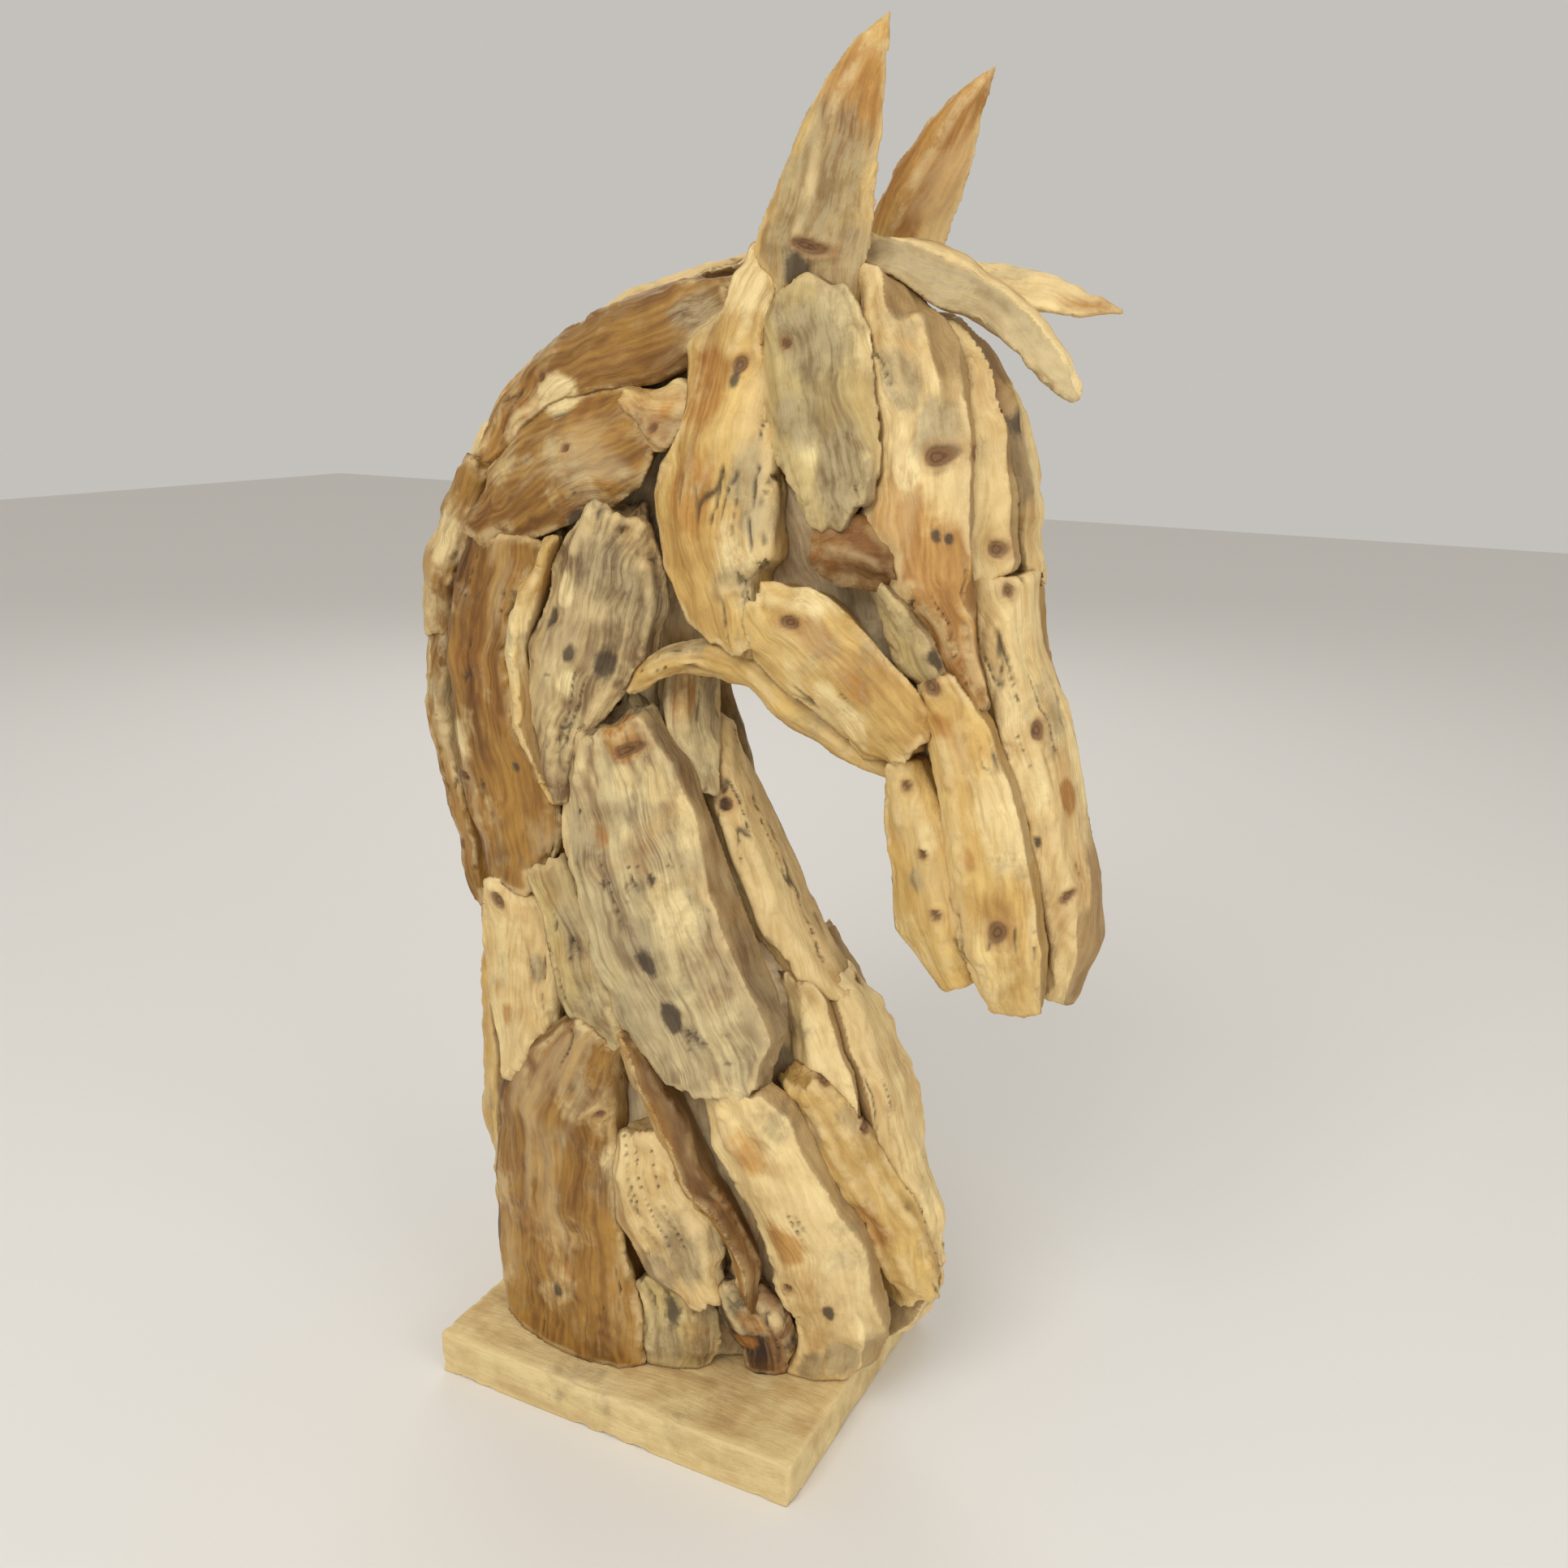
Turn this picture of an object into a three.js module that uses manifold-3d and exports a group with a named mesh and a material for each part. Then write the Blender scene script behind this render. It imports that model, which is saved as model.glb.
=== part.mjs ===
// Driftwood horse head: weathered teak root pieces fixed over inner wood, standing on a sawn plinth.
// Millimetres, +Z up. The origin is the middle of the plinth's underside, +X is the way the horse
// faces and -Y is its right side. The tip of the right ear is the highest point, at 1000 mm.
import * as THREE from 'three';
import Module from 'manifold-3d';

// ---- driving dimensions ----------------------------------------------------------------------

const PLINTH_LENGTH = 320;
const PLINTH_WIDTH = 250;
const PLINTH_THICKNESS = 37;

const JOINT_GAP = 0.3;          // left between two pieces that touch
const INNER_WOOD_DEPTH = 21;    // how far the inner wood lies under the horse's outline
const PIECE_DEPTH = 26;         // how far a piece reaches in before the inner wood meets it
const EDGE_DROP = 5;            // how far a piece's worn edge lies below its face
const UNDERCUT = 0.84;          // a piece's inner width, as a share of its outer width
const WALK_STEP = 12;           // longest stride over the outline when a width is laid out
const SECTION_POWER = 2.4;      // roundness of the outline's cuts: 2 is an ellipse, more is squarer
const INNER_SIDES = 10;         // flats round the inner wood
const LEVEL_HEIGHT = 40;        // the least distance between two levels of the outline
const CUTTER_SIZE = 900;        // the block that trims every piece's foot to the plinth

// Where a piece's section has its points across, for pieces up to each half width.
const SECTION_ROWS = [
  { upTo: 17, across: [-1, 0, 1] },
  { upTo: 65, across: [-1, -0.64, 0, 0.64, 1] },
  { upTo: Infinity, across: [-1, -0.76, -0.4, 0, 0.4, 0.76, 1] },
];

// ---- the horse's outline ---------------------------------------------------------------------
// Each level is a cut across the neck or the head: the point in front, the point at the back (both
// as x and z in the middle plane), half the width, and how much narrower the cut gets in front. The
// neck's levels rise from the plinth to the poll, the head's run down from the poll to the lips.

const NECK = [
  { front: [150, 37], back: [-170, 37], half: 92, narrow: 0.55 },
  { front: [207, 120], back: [-181, 110], half: 91, narrow: 0.38 },
  { front: [190, 230], back: [-178, 210], half: 90, narrow: 0.15 },
  { front: [150, 335], back: [-179, 300], half: 88 },
  { front: [107, 398], back: [-183, 385], half: 86 },
  { front: [64, 480], back: [-204, 465], half: 84 },
  { front: [32, 540], back: [-215, 545], half: 84 },
  { front: [25, 590], back: [-215, 625], half: 84 },
  { front: [40, 640], back: [-197, 690], half: 82 },
  { front: [60, 690], back: [-152, 762], half: 76 },
  { front: [90, 740], back: [-84, 822], half: 66 },
  { front: [120, 790], back: [-6, 854], half: 56 },
  { front: [140, 840], back: [59, 874], half: 42 },
];

const HEAD = [
  { front: [150, 861], back: [62, 880], half: 42 },
  { front: [205, 820], back: [20, 835], half: 62 },
  { front: [238, 775], back: [-5, 770], half: 78 },
  { front: [253, 715], back: [0, 700], half: 85 },
  { front: [258, 655], back: [26, 628], half: 84 },
  { front: [268, 612], back: [80, 576], half: 74 },
  { front: [287, 564], back: [134, 540], half: 64 },
  { front: [298, 515], back: [170, 510], half: 59 },
  { front: [309, 475], back: [176, 470], half: 58 },
  { front: [318, 435], back: [181, 434], half: 58 },
  { front: [309, 398], back: [206, 403], half: 52 },
  { front: [290, 376], back: [236, 376], half: 38 },
];

// Where the inner wood starts and ends, in levels, and how many lengths it is cut in.
const HEAD_INNER_WOOD = { from: 0.5, to: 10.3, lengths: 6 };
const NECK_INNER_WOOD = { from: -0.2, to: 10.8, lengths: 7 };

// ---- wood colours ----------------------------------------------------------------------------

const WOOD = {
  sapwood: 0xd8b878,
  tan: 0xc79a62,
  heartwood: 0xb5783f,
  weathered: 0x9b8567,
  bark: 0x8e7b62,
  burl: 0x8a6b45,
  burnt: 0x4b3a2c,
  inner: 0x7d6e60,
  sawn: 0xd0b988,
};

// ---- pieces that lie on the outline ----------------------------------------------------------
// A piece is laid along stations of [level, angle, half width]: the angle runs round the cut from
// the front (0) over the horse's right side (90) to the back (180), so its left side is negative.
// The pieces on top come first: each one is cut to fit the pieces listed before it.

const HEAD_PIECES = {
  temple_slab: {
    wood: 'weathered', lift: 9, crown: 4,
    path: [[0.55, 88, 8], [0.85, 84, 24], [1.3, 81, 35], [1.9, 79, 33], [2.5, 76, 28], [2.8, 76, 20],
      [3, 78, 11]],
  },
  eye: {
    wood: 'heartwood', lift: 11, crown: 4,
    path: [[3.32, 82, 9], [3.28, 77, 16], [3.3, 71, 17], [3.38, 66, 13], [3.46, 62, 5]],
  },
  cheek_slab: {
    wood: 'tan', lift: 9, crown: 6,
    path: [[0.12, 112, 6], [0.6, 107, 14], [1.05, 108, 16], [1.35, 115, 27], [2.15, 110, 34],
      [2.9, 121, 57], [3.35, 123, 54], [3.75, 124, 38], [4.22, 115, 8]],
  },
  jaw_plank: {
    wood: 'tan', lift: 6, crown: 5,
    path: [[3.8, 107, 18], [4, 101, 31], [4.45, 93, 34], [4.95, 88, 33], [5.42, 89, 30], [5.65, 86, 16]],
  },
  face_slab: {
    wood: 'sapwood', lift: 4, crown: 8,
    path: [[0.2, 24, 22], [0.85, 37, 30], [1.7, 45, 31], [2.5, 49, 30], [3, 53, 35], [3.5, 50, 27],
      [4.1, 46, 16], [5.05, 48, 6]],
  },
  muzzle_front: {
    wood: 'tan', lift: 5, crown: 6,
    path: [[4.75, 57, 13], [5.5, 60, 23], [6.4, 66, 26], [7.6, 71, 29], [8.9, 69, 29], [10.15, 66, 21]],
  },
  muzzle_side: {
    wood: 'tan', lift: 2, crown: 4,
    path: [[5.9, 98, 10], [6.8, 116, 25], [7.8, 120, 28], [8.8, 121, 30], [10, 116, 13]],
  },
  nose_plank: {
    wood: 'sapwood', lift: 2, crown: 6,
    path: [[3.65, 14, 33], [4.5, 14, 34], [5.5, 13, 36], [6.6, 15, 35], [7.7, 14, 33], [8.9, 14, 31],
      [10, 14, 22]],
  },
  brow_strip: {
    wood: 'sapwood', lift: 1, crown: 4,
    path: [[0.95, 8, 9], [1.55, 17, 10], [2.2, 24, 12], [2.9, 27, 16], [3.55, 26, 17]],
  },
  left_brow_strip: {
    wood: 'heartwood', lift: 0, crown: 5,
    path: [[0.75, -10, 18], [1.8, -5, 31], [3, -5, 31], [3.7, -10, 27]],
  },
  under_eye_chip: {
    wood: 'weathered', lift: 1, crown: 3,
    path: [[3.6, 67, 5], [3.85, 62, 11], [4.2, 59, 16], [4.5, 58, 16], [4.75, 60, 9]],
  },
  left_temple_slab: {
    wood: 'weathered', lift: 5, crown: 5,
    path: [[0.7, -74, 18], [1.5, -76, 35], [2.5, -77, 38], [3.3, -78, 20]],
  },
  left_cheek_slab: {
    wood: 'tan', lift: 6, crown: 6,
    path: [[0.4, -112, 18], [1.6, -114, 42], [3, -119, 56], [4.3, -114, 18]],
  },
  left_jaw_plank: {
    wood: 'tan', lift: 3, crown: 5,
    path: [[3.5, -84, 24], [4.6, -95, 46], [6.1, -104, 26]],
  },
  left_face_slab: {
    wood: 'heartwood', lift: 0, crown: 6,
    path: [[0.75, -40, 18], [2.2, -44, 32], [4.4, -42, 29], [7.5, -45, 29], [9.9, -45, 18]],
  },
  left_muzzle_side: {
    wood: 'tan', lift: 1, crown: 6,
    path: [[5.1, -72, 18], [6.2, -86, 36], [8.4, -94, 42], [10, -92, 26]],
  },
  chin_plank: {
    wood: 'weathered', lift: -3, crown: 4,
    path: [[6.9, 178, 20], [7.6, 178, 28], [8.6, 178, 28], [9.8, 178, 20]],
  },
};

const NECK_PIECES = {
  neck_chip: {
    wood: 'tan', lift: 9, crown: 4,
    path: [[9.89, 89, 5], [9.94, 82, 14], [9.97, 76, 22], [9.96, 68, 22], [9.9, 62, 14]],
  },
  mid_neck_slab: {
    wood: 'heartwood', lift: 5, crown: 7,
    path: [[8.15, 114, 14], [8.5, 108, 30], [8.87, 101, 38], [9.25, 91, 39], [9.5, 81, 33], [9.5, 69, 20]],
  },
  upper_neck_slab: {
    wood: 'heartwood', lift: 3, crown: 7,
    path: [[11.4, 100, 18], [10.9, 107, 30], [10.3, 121, 39], [9.8, 128, 36], [9.3, 130, 26],
      [8.8, 127, 10]],
  },
  crest_strip: {
    wood: 'sapwood', lift: -1, crown: 3,
    path: [[12.2, 176, 28], [11.3, 171, 27], [10.5, 172, 27], [9.7, 169, 30], [8.8, 160, 28],
      [8, 150, 14]],
  },
  burl: {
    wood: 'burl', lift: 6, crown: 9,
    path: [[8.85, 67, 18], [8.4, 63, 34], [7.95, 60, 44], [7.45, 58, 46], [6.9, 65, 36], [6.2, 73, 21],
      [5.45, 79, 6]],
  },
  burl_rim: {
    wood: 'sapwood', lift: 7, crown: 4,
    path: [[8.3, 83, 5], [7.7, 86, 7], [6.9, 87, 8], [6.1, 86, 8], [5.35, 83, 5]],
  },
  bark_log: {
    wood: 'bark', lift: 8, crown: 14,
    path: [[6.25, 53, 34], [5.75, 53, 48], [5.2, 57, 56], [4.4, 61, 62], [3.6, 61, 62], [3.1, 60, 58],
      [2.75, 63, 40]],
  },
  throat_bit: {
    wood: 'bark', lift: 3, crown: 4,
    path: [[7.1, 15, 24], [6.6, 15, 28], [6.2, 16, 24], [5.8, 20, 14], [5.45, 25, 5]],
  },
  throat_plank_upper: {
    wood: 'sapwood', lift: 3, crown: 6,
    path: [[6.15, -2, 9], [5.55, 4, 23], [4.9, 6, 30], [4.2, 6, 33], [3.62, 5, 26], [3.42, 8, 14]],
  },
  throat_plank_lower: {
    wood: 'tan', lift: 8, crown: 8,
    path: [[3.55, 1, 15], [3.1, 0, 27], [2.6, -1, 34], [2.1, -3, 34], [1.65, -5, 23], [1.3, -7, 9]],
  },
  pale_splinter: {
    wood: 'sapwood', lift: 4, crown: 4,
    path: [[3.58, 19, 8], [3.1, 22, 13], [2.7, 26, 15], [2.32, 27, 8]],
  },
  front_branch: {
    wood: 'tan', lift: 6, crown: 8,
    path: [[2.72, 38, 12], [2.33, 32, 18], [2.04, 27, 21], [1.71, 20, 25], [1.37, 10, 26], [1.02, 0, 14]],
  },
  front_log: {
    wood: 'sapwood', lift: 6, crown: 13,
    path: [[2.75, 60, 22], [2.45, 55, 36], [2.05, 52, 38], [1.65, 49, 38], [1.28, 46, 39], [0.85, 40, 36],
      [0.4, 30, 31], [-0.1, 24, 28]],
  },
  foot_splinter: {
    wood: 'sapwood', lift: 9, crown: 4,
    path: [[1.42, -14, 7], [1.1, -12, 14], [0.75, -10, 16], [0.45, -12, 7]],
  },
  slanted_stick: {
    wood: 'heartwood', lift: 7, crown: 6,
    path: [[3.08, 84, 7], [2.7, 82, 12], [2.38, 78, 14], [2.04, 75, 13], [1.7, 69, 10], [1.4, 66, 10],
      [1.02, 65, 8]],
  },
  lower_rear_slab: {
    wood: 'heartwood', lift: 4, crown: 8,
    path: [[3.12, 93, 20], [2.65, 105, 42], [2.1, 115, 64], [1.3, 116, 74], [0.5, 113, 78],
      [-0.2, 109, 82]],
  },
  pale_oval_slab: {
    wood: 'sapwood', lift: 5, crown: 6,
    path: [[4.48, 115, 12], [4.22, 115, 27], [3.82, 117, 39], [3.4, 119, 39], [2.9, 122, 30],
      [2.45, 125, 9]],
  },
  striated_slab: {
    wood: 'weathered', lift: 2, crown: 5,
    path: [[4.65, 97, 15], [4, 96, 22], [3.35, 93, 28], [3, 89, 18]],
  },
  pale_lower_slab: {
    wood: 'sapwood', lift: 2, crown: 8,
    path: [[2.26, 86, 25], [1.97, 85, 36], [1.66, 84, 39], [1.3, 80, 31], [1.02, 75, 12]],
  },
  burnt_root: {
    wood: 'burnt', lift: -3, crown: 6,
    path: [[1.15, 69, 15], [0.8, 63, 24], [0.4, 54, 24], [-0.1, 46, 18]],
  },
  bottom_chunk: {
    wood: 'weathered', lift: -6, crown: 5,
    path: [[1.05, 89, 18], [0.7, 81, 34], [0.3, 77, 34], [-0.1, 75, 30]],
  },
  rear_neck_slab: {
    wood: 'heartwood', lift: 2, crown: 6,
    path: [[8.3, 103, 42], [7.5, 102, 40], [6.6, 102, 39], [5.8, 103, 41], [5, 104, 44], [4.4, 110, 28]],
  },
  nape_strip: {
    wood: 'sapwood', lift: 0, crown: 3,
    path: [[8.6, 138, 10], [8.1, 137, 19], [7.5, 138, 21], [6.8, 142, 8]],
  },
  nape_plank: {
    wood: 'heartwood', lift: -1, crown: 4,
    path: [[7.9, 162, 28], [7, 162, 47], [6, 163, 50], [5, 163, 50], [4, 163, 36]],
  },
  back_plank_lower: {
    wood: 'sapwood', lift: -2, crown: 4,
    path: [[4.2, 178, 40], [3.2, 178, 64], [1.6, 180, 65], [-0.2, 181, 62]],
  },
  left_upper_neck_slab: {
    wood: 'heartwood', lift: 1, crown: 7,
    path: [[11.3, -112, 24], [10.5, -118, 41], [9.5, -128, 44], [8.5, -138, 30]],
  },
  left_mid_neck_slab: {
    wood: 'tan', lift: 0, crown: 7,
    path: [[10.3, -66, 24], [9.5, -78, 44], [8.5, -98, 52], [7.7, -108, 34]],
  },
  left_rear_neck_slab: {
    wood: 'heartwood', lift: 0, crown: 6,
    path: [[8.4, -142, 34], [7.2, -140, 49], [5, -136, 50], [3.9, -136, 36]],
  },
  left_throat_slab: {
    wood: 'weathered', lift: -5, crown: 4,
    path: [[8.2, -60, 34], [6.8, -53, 46], [5.2, -46, 42], [3.6, -40, 26]],
  },
  left_neck_log: {
    wood: 'bark', lift: 4, crown: 12,
    path: [[7.9, -92, 36], [6.2, -92, 50], [4.2, -79, 54], [2.3, -64, 28]],
  },
  left_front_slab: {
    wood: 'tan', lift: 0, crown: 6,
    path: [[3.8, -26, 22], [2.8, -38, 44], [1.4, -46, 58], [-0.2, -48, 52]],
  },
  left_lower_slab: {
    wood: 'sapwood', lift: 1, crown: 7,
    path: [[3, -86, 34], [1.9, -84, 58], [0.8, -84, 60], [-0.2, -85, 50]],
  },
  left_lower_rear_slab: {
    wood: 'heartwood', lift: 1, crown: 8,
    path: [[4.4, -114, 34], [3.2, -116, 58], [1.6, -118, 62], [-0.2, -118, 58]],
  },
};

// ---- pieces that stand free of the outline ---------------------------------------------------
// A limb is laid along stations of [x, y, z, half width, half thickness], its face turned one way.

const LEAF = [[-1, 0], [-0.4, 0.62], [0.35, 1], [0.8, 0.55], [1, 0], [0.5, -0.75], [-0.45, -0.75]];
const ROUND = [[-1, 0], [-0.68, 0.75], [0, 1], [0.68, 0.75], [1, 0], [0.68, -0.75], [0, -1], [-0.68, -0.75]];
const RIDGE = [[-1, -0.1], [-0.3, 0.55], [0.15, 1], [0.85, 0.35], [1, -0.2], [0.3, -0.8], [-0.6, -0.7]];

const LIMBS = {
  right_ear: {
    wood: 'weathered', section: LEAF, facing: [0.4, -0.92, 0],
    path: [[110, -42, 838, 35, 17], [118, -46, 874, 35, 16], [127, -47, 904, 31, 15], [135, -48, 931, 26, 13],
      [144, -48, 957, 20, 11], [153, -47, 980, 12, 8], [164, -46, 999.3, 1.5, 1.5]],
  },
  left_ear: {
    wood: 'heartwood', section: LEAF, facing: [0.4, -0.92, 0],
    path: [[127, 42, 848, 25, 15], [146, 46, 893, 26, 14], [156, 46, 917, 25, 13], [169, 46, 941, 20, 11],
      [181, 46, 962, 12, 8], [198, 46, 984, 1.5, 1.5]],
  },
  forelock_branch: {
    wood: 'sapwood', section: RIDGE, facing: [0.1, -0.55, 0.83],
    path: [[112, -14, 864, 14, 9], [138, -10, 874, 17, 10], [165, -9, 868, 20, 11], [195, -9, 855, 24, 12],
      [226, -9, 838, 21, 11], [251, -9, 820, 18, 10], [269, -9, 798, 13, 8], [279, -9, 785, 5, 4]],
  },
  forelock_point: {
    wood: 'sapwood', section: RIDGE, facing: [0, -0.5, 0.87],
    path: [[196, 22, 858, 12, 7], [214, 27, 856, 16, 9], [249, 30, 847, 19, 10], [268, 30, 841, 14, 8],
      [294, 30, 837, 2, 2]],
  },
  jaw_branch: {
    wood: 'tan', section: ROUND, facing: [0.1, -0.96, -0.2],
    path: [[-10, -66, 580, 5, 7], [6, -66, 594, 9, 10], [30, -65, 606, 12, 12], [60, -64, 612, 17, 14],
      [94, -61, 604, 17, 15], [124, -57, 580, 16, 15], [154, -53, 560, 13, 13], [186, -49, 545, 7, 8]],
  },
};

// ---- the outline as a surface ----------------------------------------------------------------

const wasm = await Module();
wasm.setup();

/** One value of a smooth curve through four neighbours, at u between the middle two. */
function smooth(a, b, c, d, u) {
  const slope = (c - a) * u;
  const bend = (2 * a - 5 * b + 4 * c - d) * u * u;
  const twist = (-a + 3 * b - 3 * c + d) * u * u * u;
  return 0.5 * (2 * b + slope + bend + twist);
}

/** The cut at any level, also between two levels and a little past the ends. */
function cutAt(levels, level) {
  const last = levels.length - 1;
  const start = Math.min(Math.max(Math.floor(level), 0), last - 1);
  const rows = [start - 1, start, start + 1, start + 2].map((index) => {
    const cut = levels[Math.min(Math.max(index, 0), last)];
    return [...cut.front, ...cut.back, cut.half, cut.narrow ?? 0];
  });
  if (start === 0) rows[0] = rows[1].map((value, k) => 2 * value - rows[2][k]);
  if (start === last - 1) rows[3] = rows[2].map((value, k) => 2 * value - rows[1][k]);
  const u = level - start;
  if (u < 0 || u > 1) return rows[1].map((value, k) => value + (rows[2][k] - value) * u);
  return rows[1].map((value, k) => smooth(rows[0][k], value, rows[2][k], rows[3][k], u));
}

/** A point of the outline, or one that far outside it. */
function outlinePoint(levels, level, angle, outside = 0) {
  const [frontX, frontZ, backX, backZ, half, narrow] = cutAt(levels, level);
  const middle = new THREE.Vector3((frontX + backX) / 2, 0, (frontZ + backZ) / 2);
  const ahead = new THREE.Vector3(frontX - backX, 0, frontZ - backZ);
  const reach = ahead.length() / 2 + outside;
  const turn = THREE.MathUtils.degToRad(angle);
  const c = Math.cos(turn);
  const s = Math.sin(turn);
  const swell = (Math.abs(c) ** SECTION_POWER + Math.abs(s) ** SECTION_POWER) ** (-1 / SECTION_POWER);
  const point = middle.addScaledVector(ahead.normalize(), reach * c * swell);
  point.y = -(half + outside) * s * swell * (1 - narrow * Math.max(0, c * swell));
  return point;
}

/** How the outline runs at a place: millimetres for each level, and for each degree round it. */
function outlineSlopes(levels, level, angle) {
  const levelStep = 0.05;
  const angleStep = 1;
  const along = outlinePoint(levels, level + levelStep, angle)
    .sub(outlinePoint(levels, level - levelStep, angle)).divideScalar(2 * levelStep);
  const round = outlinePoint(levels, level, angle + angleStep)
    .sub(outlinePoint(levels, level, angle - angleStep)).divideScalar(2 * angleStep);
  return { along, round };
}

/** The place reached by walking a distance over the outline in one direction. */
function walk(levels, level, angle, direction, distance) {
  const strides = Math.max(1, Math.ceil(Math.abs(distance) / WALK_STEP));
  const stride = distance / strides;
  for (let step = 0; step < strides; step += 1) {
    const { along, round } = outlineSlopes(levels, level, angle);
    const aa = along.dot(along);
    const ar = along.dot(round);
    const rr = round.dot(round);
    const da = direction.dot(along);
    const dr = direction.dot(round);
    const scale = stride / (aa * rr - ar * ar);
    level += (da * rr - dr * ar) * scale;
    angle += (dr * aa - da * ar) * scale;
  }
  return { level, angle };
}

// ---- bodies ----------------------------------------------------------------------------------

/** A closed body through rings of points: each ring an outer row, then two points under its ends. */
function bodyThroughRings(rings) {
  const size = rings[0].length;
  const positions = rings.flat();
  const triangles = [];
  for (let row = 0; row < rings.length - 1; row += 1) {
    for (let k = 0; k < size; k += 1) {
      const a = row * size + k;
      const b = row * size + ((k + 1) % size);
      triangles.push([a, b, b + size], [a, b + size, a + size]);
    }
  }
  const underFirst = size - 1;
  const underLast = size - 2;
  const middle = (underLast - 1) / 2;
  const cap = [[middle, underFirst, underLast]];
  for (let k = 0; k < underLast - 1; k += 1) {
    cap.push([k, k < middle ? underFirst : underLast, k + 1]);
  }
  const end = positions.length - size;
  triangles.push(...cap, ...cap.map((corners) => corners.toReversed().map((k) => end + k)));
  return closedBody(positions, triangles);
}

/** A closed body through rings of a convex section, with flat ends. */
function bodyThroughSections(sections) {
  const size = sections[0].length;
  const positions = sections.flat();
  const triangles = [];
  for (let row = 0; row < sections.length - 1; row += 1) {
    for (let k = 0; k < size; k += 1) {
      const a = row * size + k;
      const b = row * size + ((k + 1) % size);
      triangles.push([a, b, b + size], [a, b + size, a + size]);
    }
  }
  const end = positions.length - size;
  for (let k = 1; k < size - 1; k += 1) {
    triangles.push([0, k + 1, k], [end, end + k, end + k + 1]);
  }
  return closedBody(positions, triangles);
}

/** A solid from points and triangles, turned so that its faces point out. */
function closedBody(positions, triangles) {
  let volume = 0;
  for (const [a, b, c] of triangles) {
    volume += positions[a].dot(positions[b].clone().cross(positions[c]));
  }
  const facing = volume < 0 ? triangles.map((t) => t.toReversed()) : triangles;
  return new wasm.Manifold(new wasm.Mesh({
    numProp: 3,
    vertProperties: new Float32Array(positions.flatMap((p) => p.toArray())),
    triVerts: new Uint32Array(facing.flat()),
  }));
}

/** A three.js geometry as a solid. */
function solidOf(geometry) {
  const position = geometry.getAttribute('position');
  const seen = new Map();
  const points = [];
  const corners = Array.from({ length: position.count }, (_, k) => {
    const point = new THREE.Vector3().fromBufferAttribute(position, k);
    const key = point.toArray().map((value) => value.toFixed(4)).join();
    if (!seen.has(key)) seen.set(key, points.push(point) - 1);
    return seen.get(key);
  });
  const index = geometry.getIndex() ? Array.from(geometry.getIndex().array) : corners.map((_, k) => k);
  const triangles = [];
  for (let k = 0; k < index.length; k += 3) {
    triangles.push([corners[index[k]], corners[index[k + 1]], corners[index[k + 2]]]);
  }
  return closedBody(points, triangles);
}

/** A piece laid over the outline. Grown by the joint gap, it is what its neighbours are cut with. */
function plankBody(levels, piece, grow = 0) {
  const { path, lift, crown } = piece;
  const widest = Math.max(...path.map((station) => station[2]));
  const acrossFace = SECTION_ROWS.find((row) => widest <= row.upTo).across;
  const places = path.map(([level, angle]) => outlinePoint(levels, level, angle));
  const rings = path.map(([level, angle, half], row) => {
    const before = places[Math.max(row - 1, 0)];
    const after = places[Math.min(row + 1, places.length - 1)];
    const tangent = after.clone().sub(before).normalize();
    const { along, round } = outlineSlopes(levels, level, angle);
    const side = along.clone().cross(round).normalize().cross(tangent).normalize();
    const isEnd = row === 0 || row === path.length - 1;
    const shift = tangent.multiplyScalar(row === 0 ? -grow : grow);
    const pointAt = (across, outside) => {
      const place = walk(levels, level, angle, side, across * half + Math.sign(across) * grow);
      const point = outlinePoint(levels, place.level, place.angle, outside);
      return isEnd ? point.add(shift) : point;
    };
    const endDrop = isEnd ? EDGE_DROP / 2 : 0;
    const face = acrossFace.map((across) => {
      const drop = Math.abs(across) === 1 ? EDGE_DROP : 0;
      return pointAt(across, lift + crown * (1 - across * across) - drop - endDrop + grow);
    });
    const under = [UNDERCUT, -UNDERCUT].map((across) => pointAt(across, -PIECE_DEPTH - grow));
    return [...face, ...under];
  });
  return bodyThroughRings(rings);
}

/** A limb along its own stations, with its section turned to the way it faces. */
function limbBody({ path, section, facing }, grow = 0) {
  const points = path.map(([x, y, z]) => new THREE.Vector3(x, y, z));
  const sections = path.map(([, , , half, thick], row) => {
    const before = points[Math.max(row - 1, 0)];
    const after = points[Math.min(row + 1, points.length - 1)];
    const tangent = after.clone().sub(before).normalize();
    const side = new THREE.Vector3(...facing).cross(tangent).normalize();
    const out = tangent.clone().cross(side).normalize();
    const reach = row === 0 ? -grow : row === points.length - 1 ? grow : 0;
    return section.map(([u, w]) => points[row].clone()
      .addScaledVector(tangent, reach)
      .addScaledVector(side, u * (half + grow))
      .addScaledVector(out, w * (thick + grow)));
  });
  return bodyThroughSections(sections);
}

/** The grey inner wood of the neck or the head, which shows in the gaps between the pieces. */
function innerWoodBody(levels, { from, to, lengths }, grow = 0) {
  const first = from - grow / LEVEL_HEIGHT;
  const last = to + grow / LEVEL_HEIGHT;
  const sections = Array.from({ length: lengths + 1 }, (_, row) => (
    Array.from({ length: INNER_SIDES }, (__, k) => {
      const level = first + ((last - first) * row) / lengths;
      return outlinePoint(levels, level, (360 * k) / INNER_SIDES, grow - INNER_WOOD_DEPTH);
    })
  ));
  return bodyThroughSections(sections);
}

/** A block, by its size and the middle of its underside. */
function blockBody(length, width, height, bottom) {
  return solidOf(new THREE.BoxGeometry(length, width, height).translate(0, 0, bottom + height / 2));
}

// ---- assembly --------------------------------------------------------------------------------

const sculpture = new THREE.Group();
const cutters = [];

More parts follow.
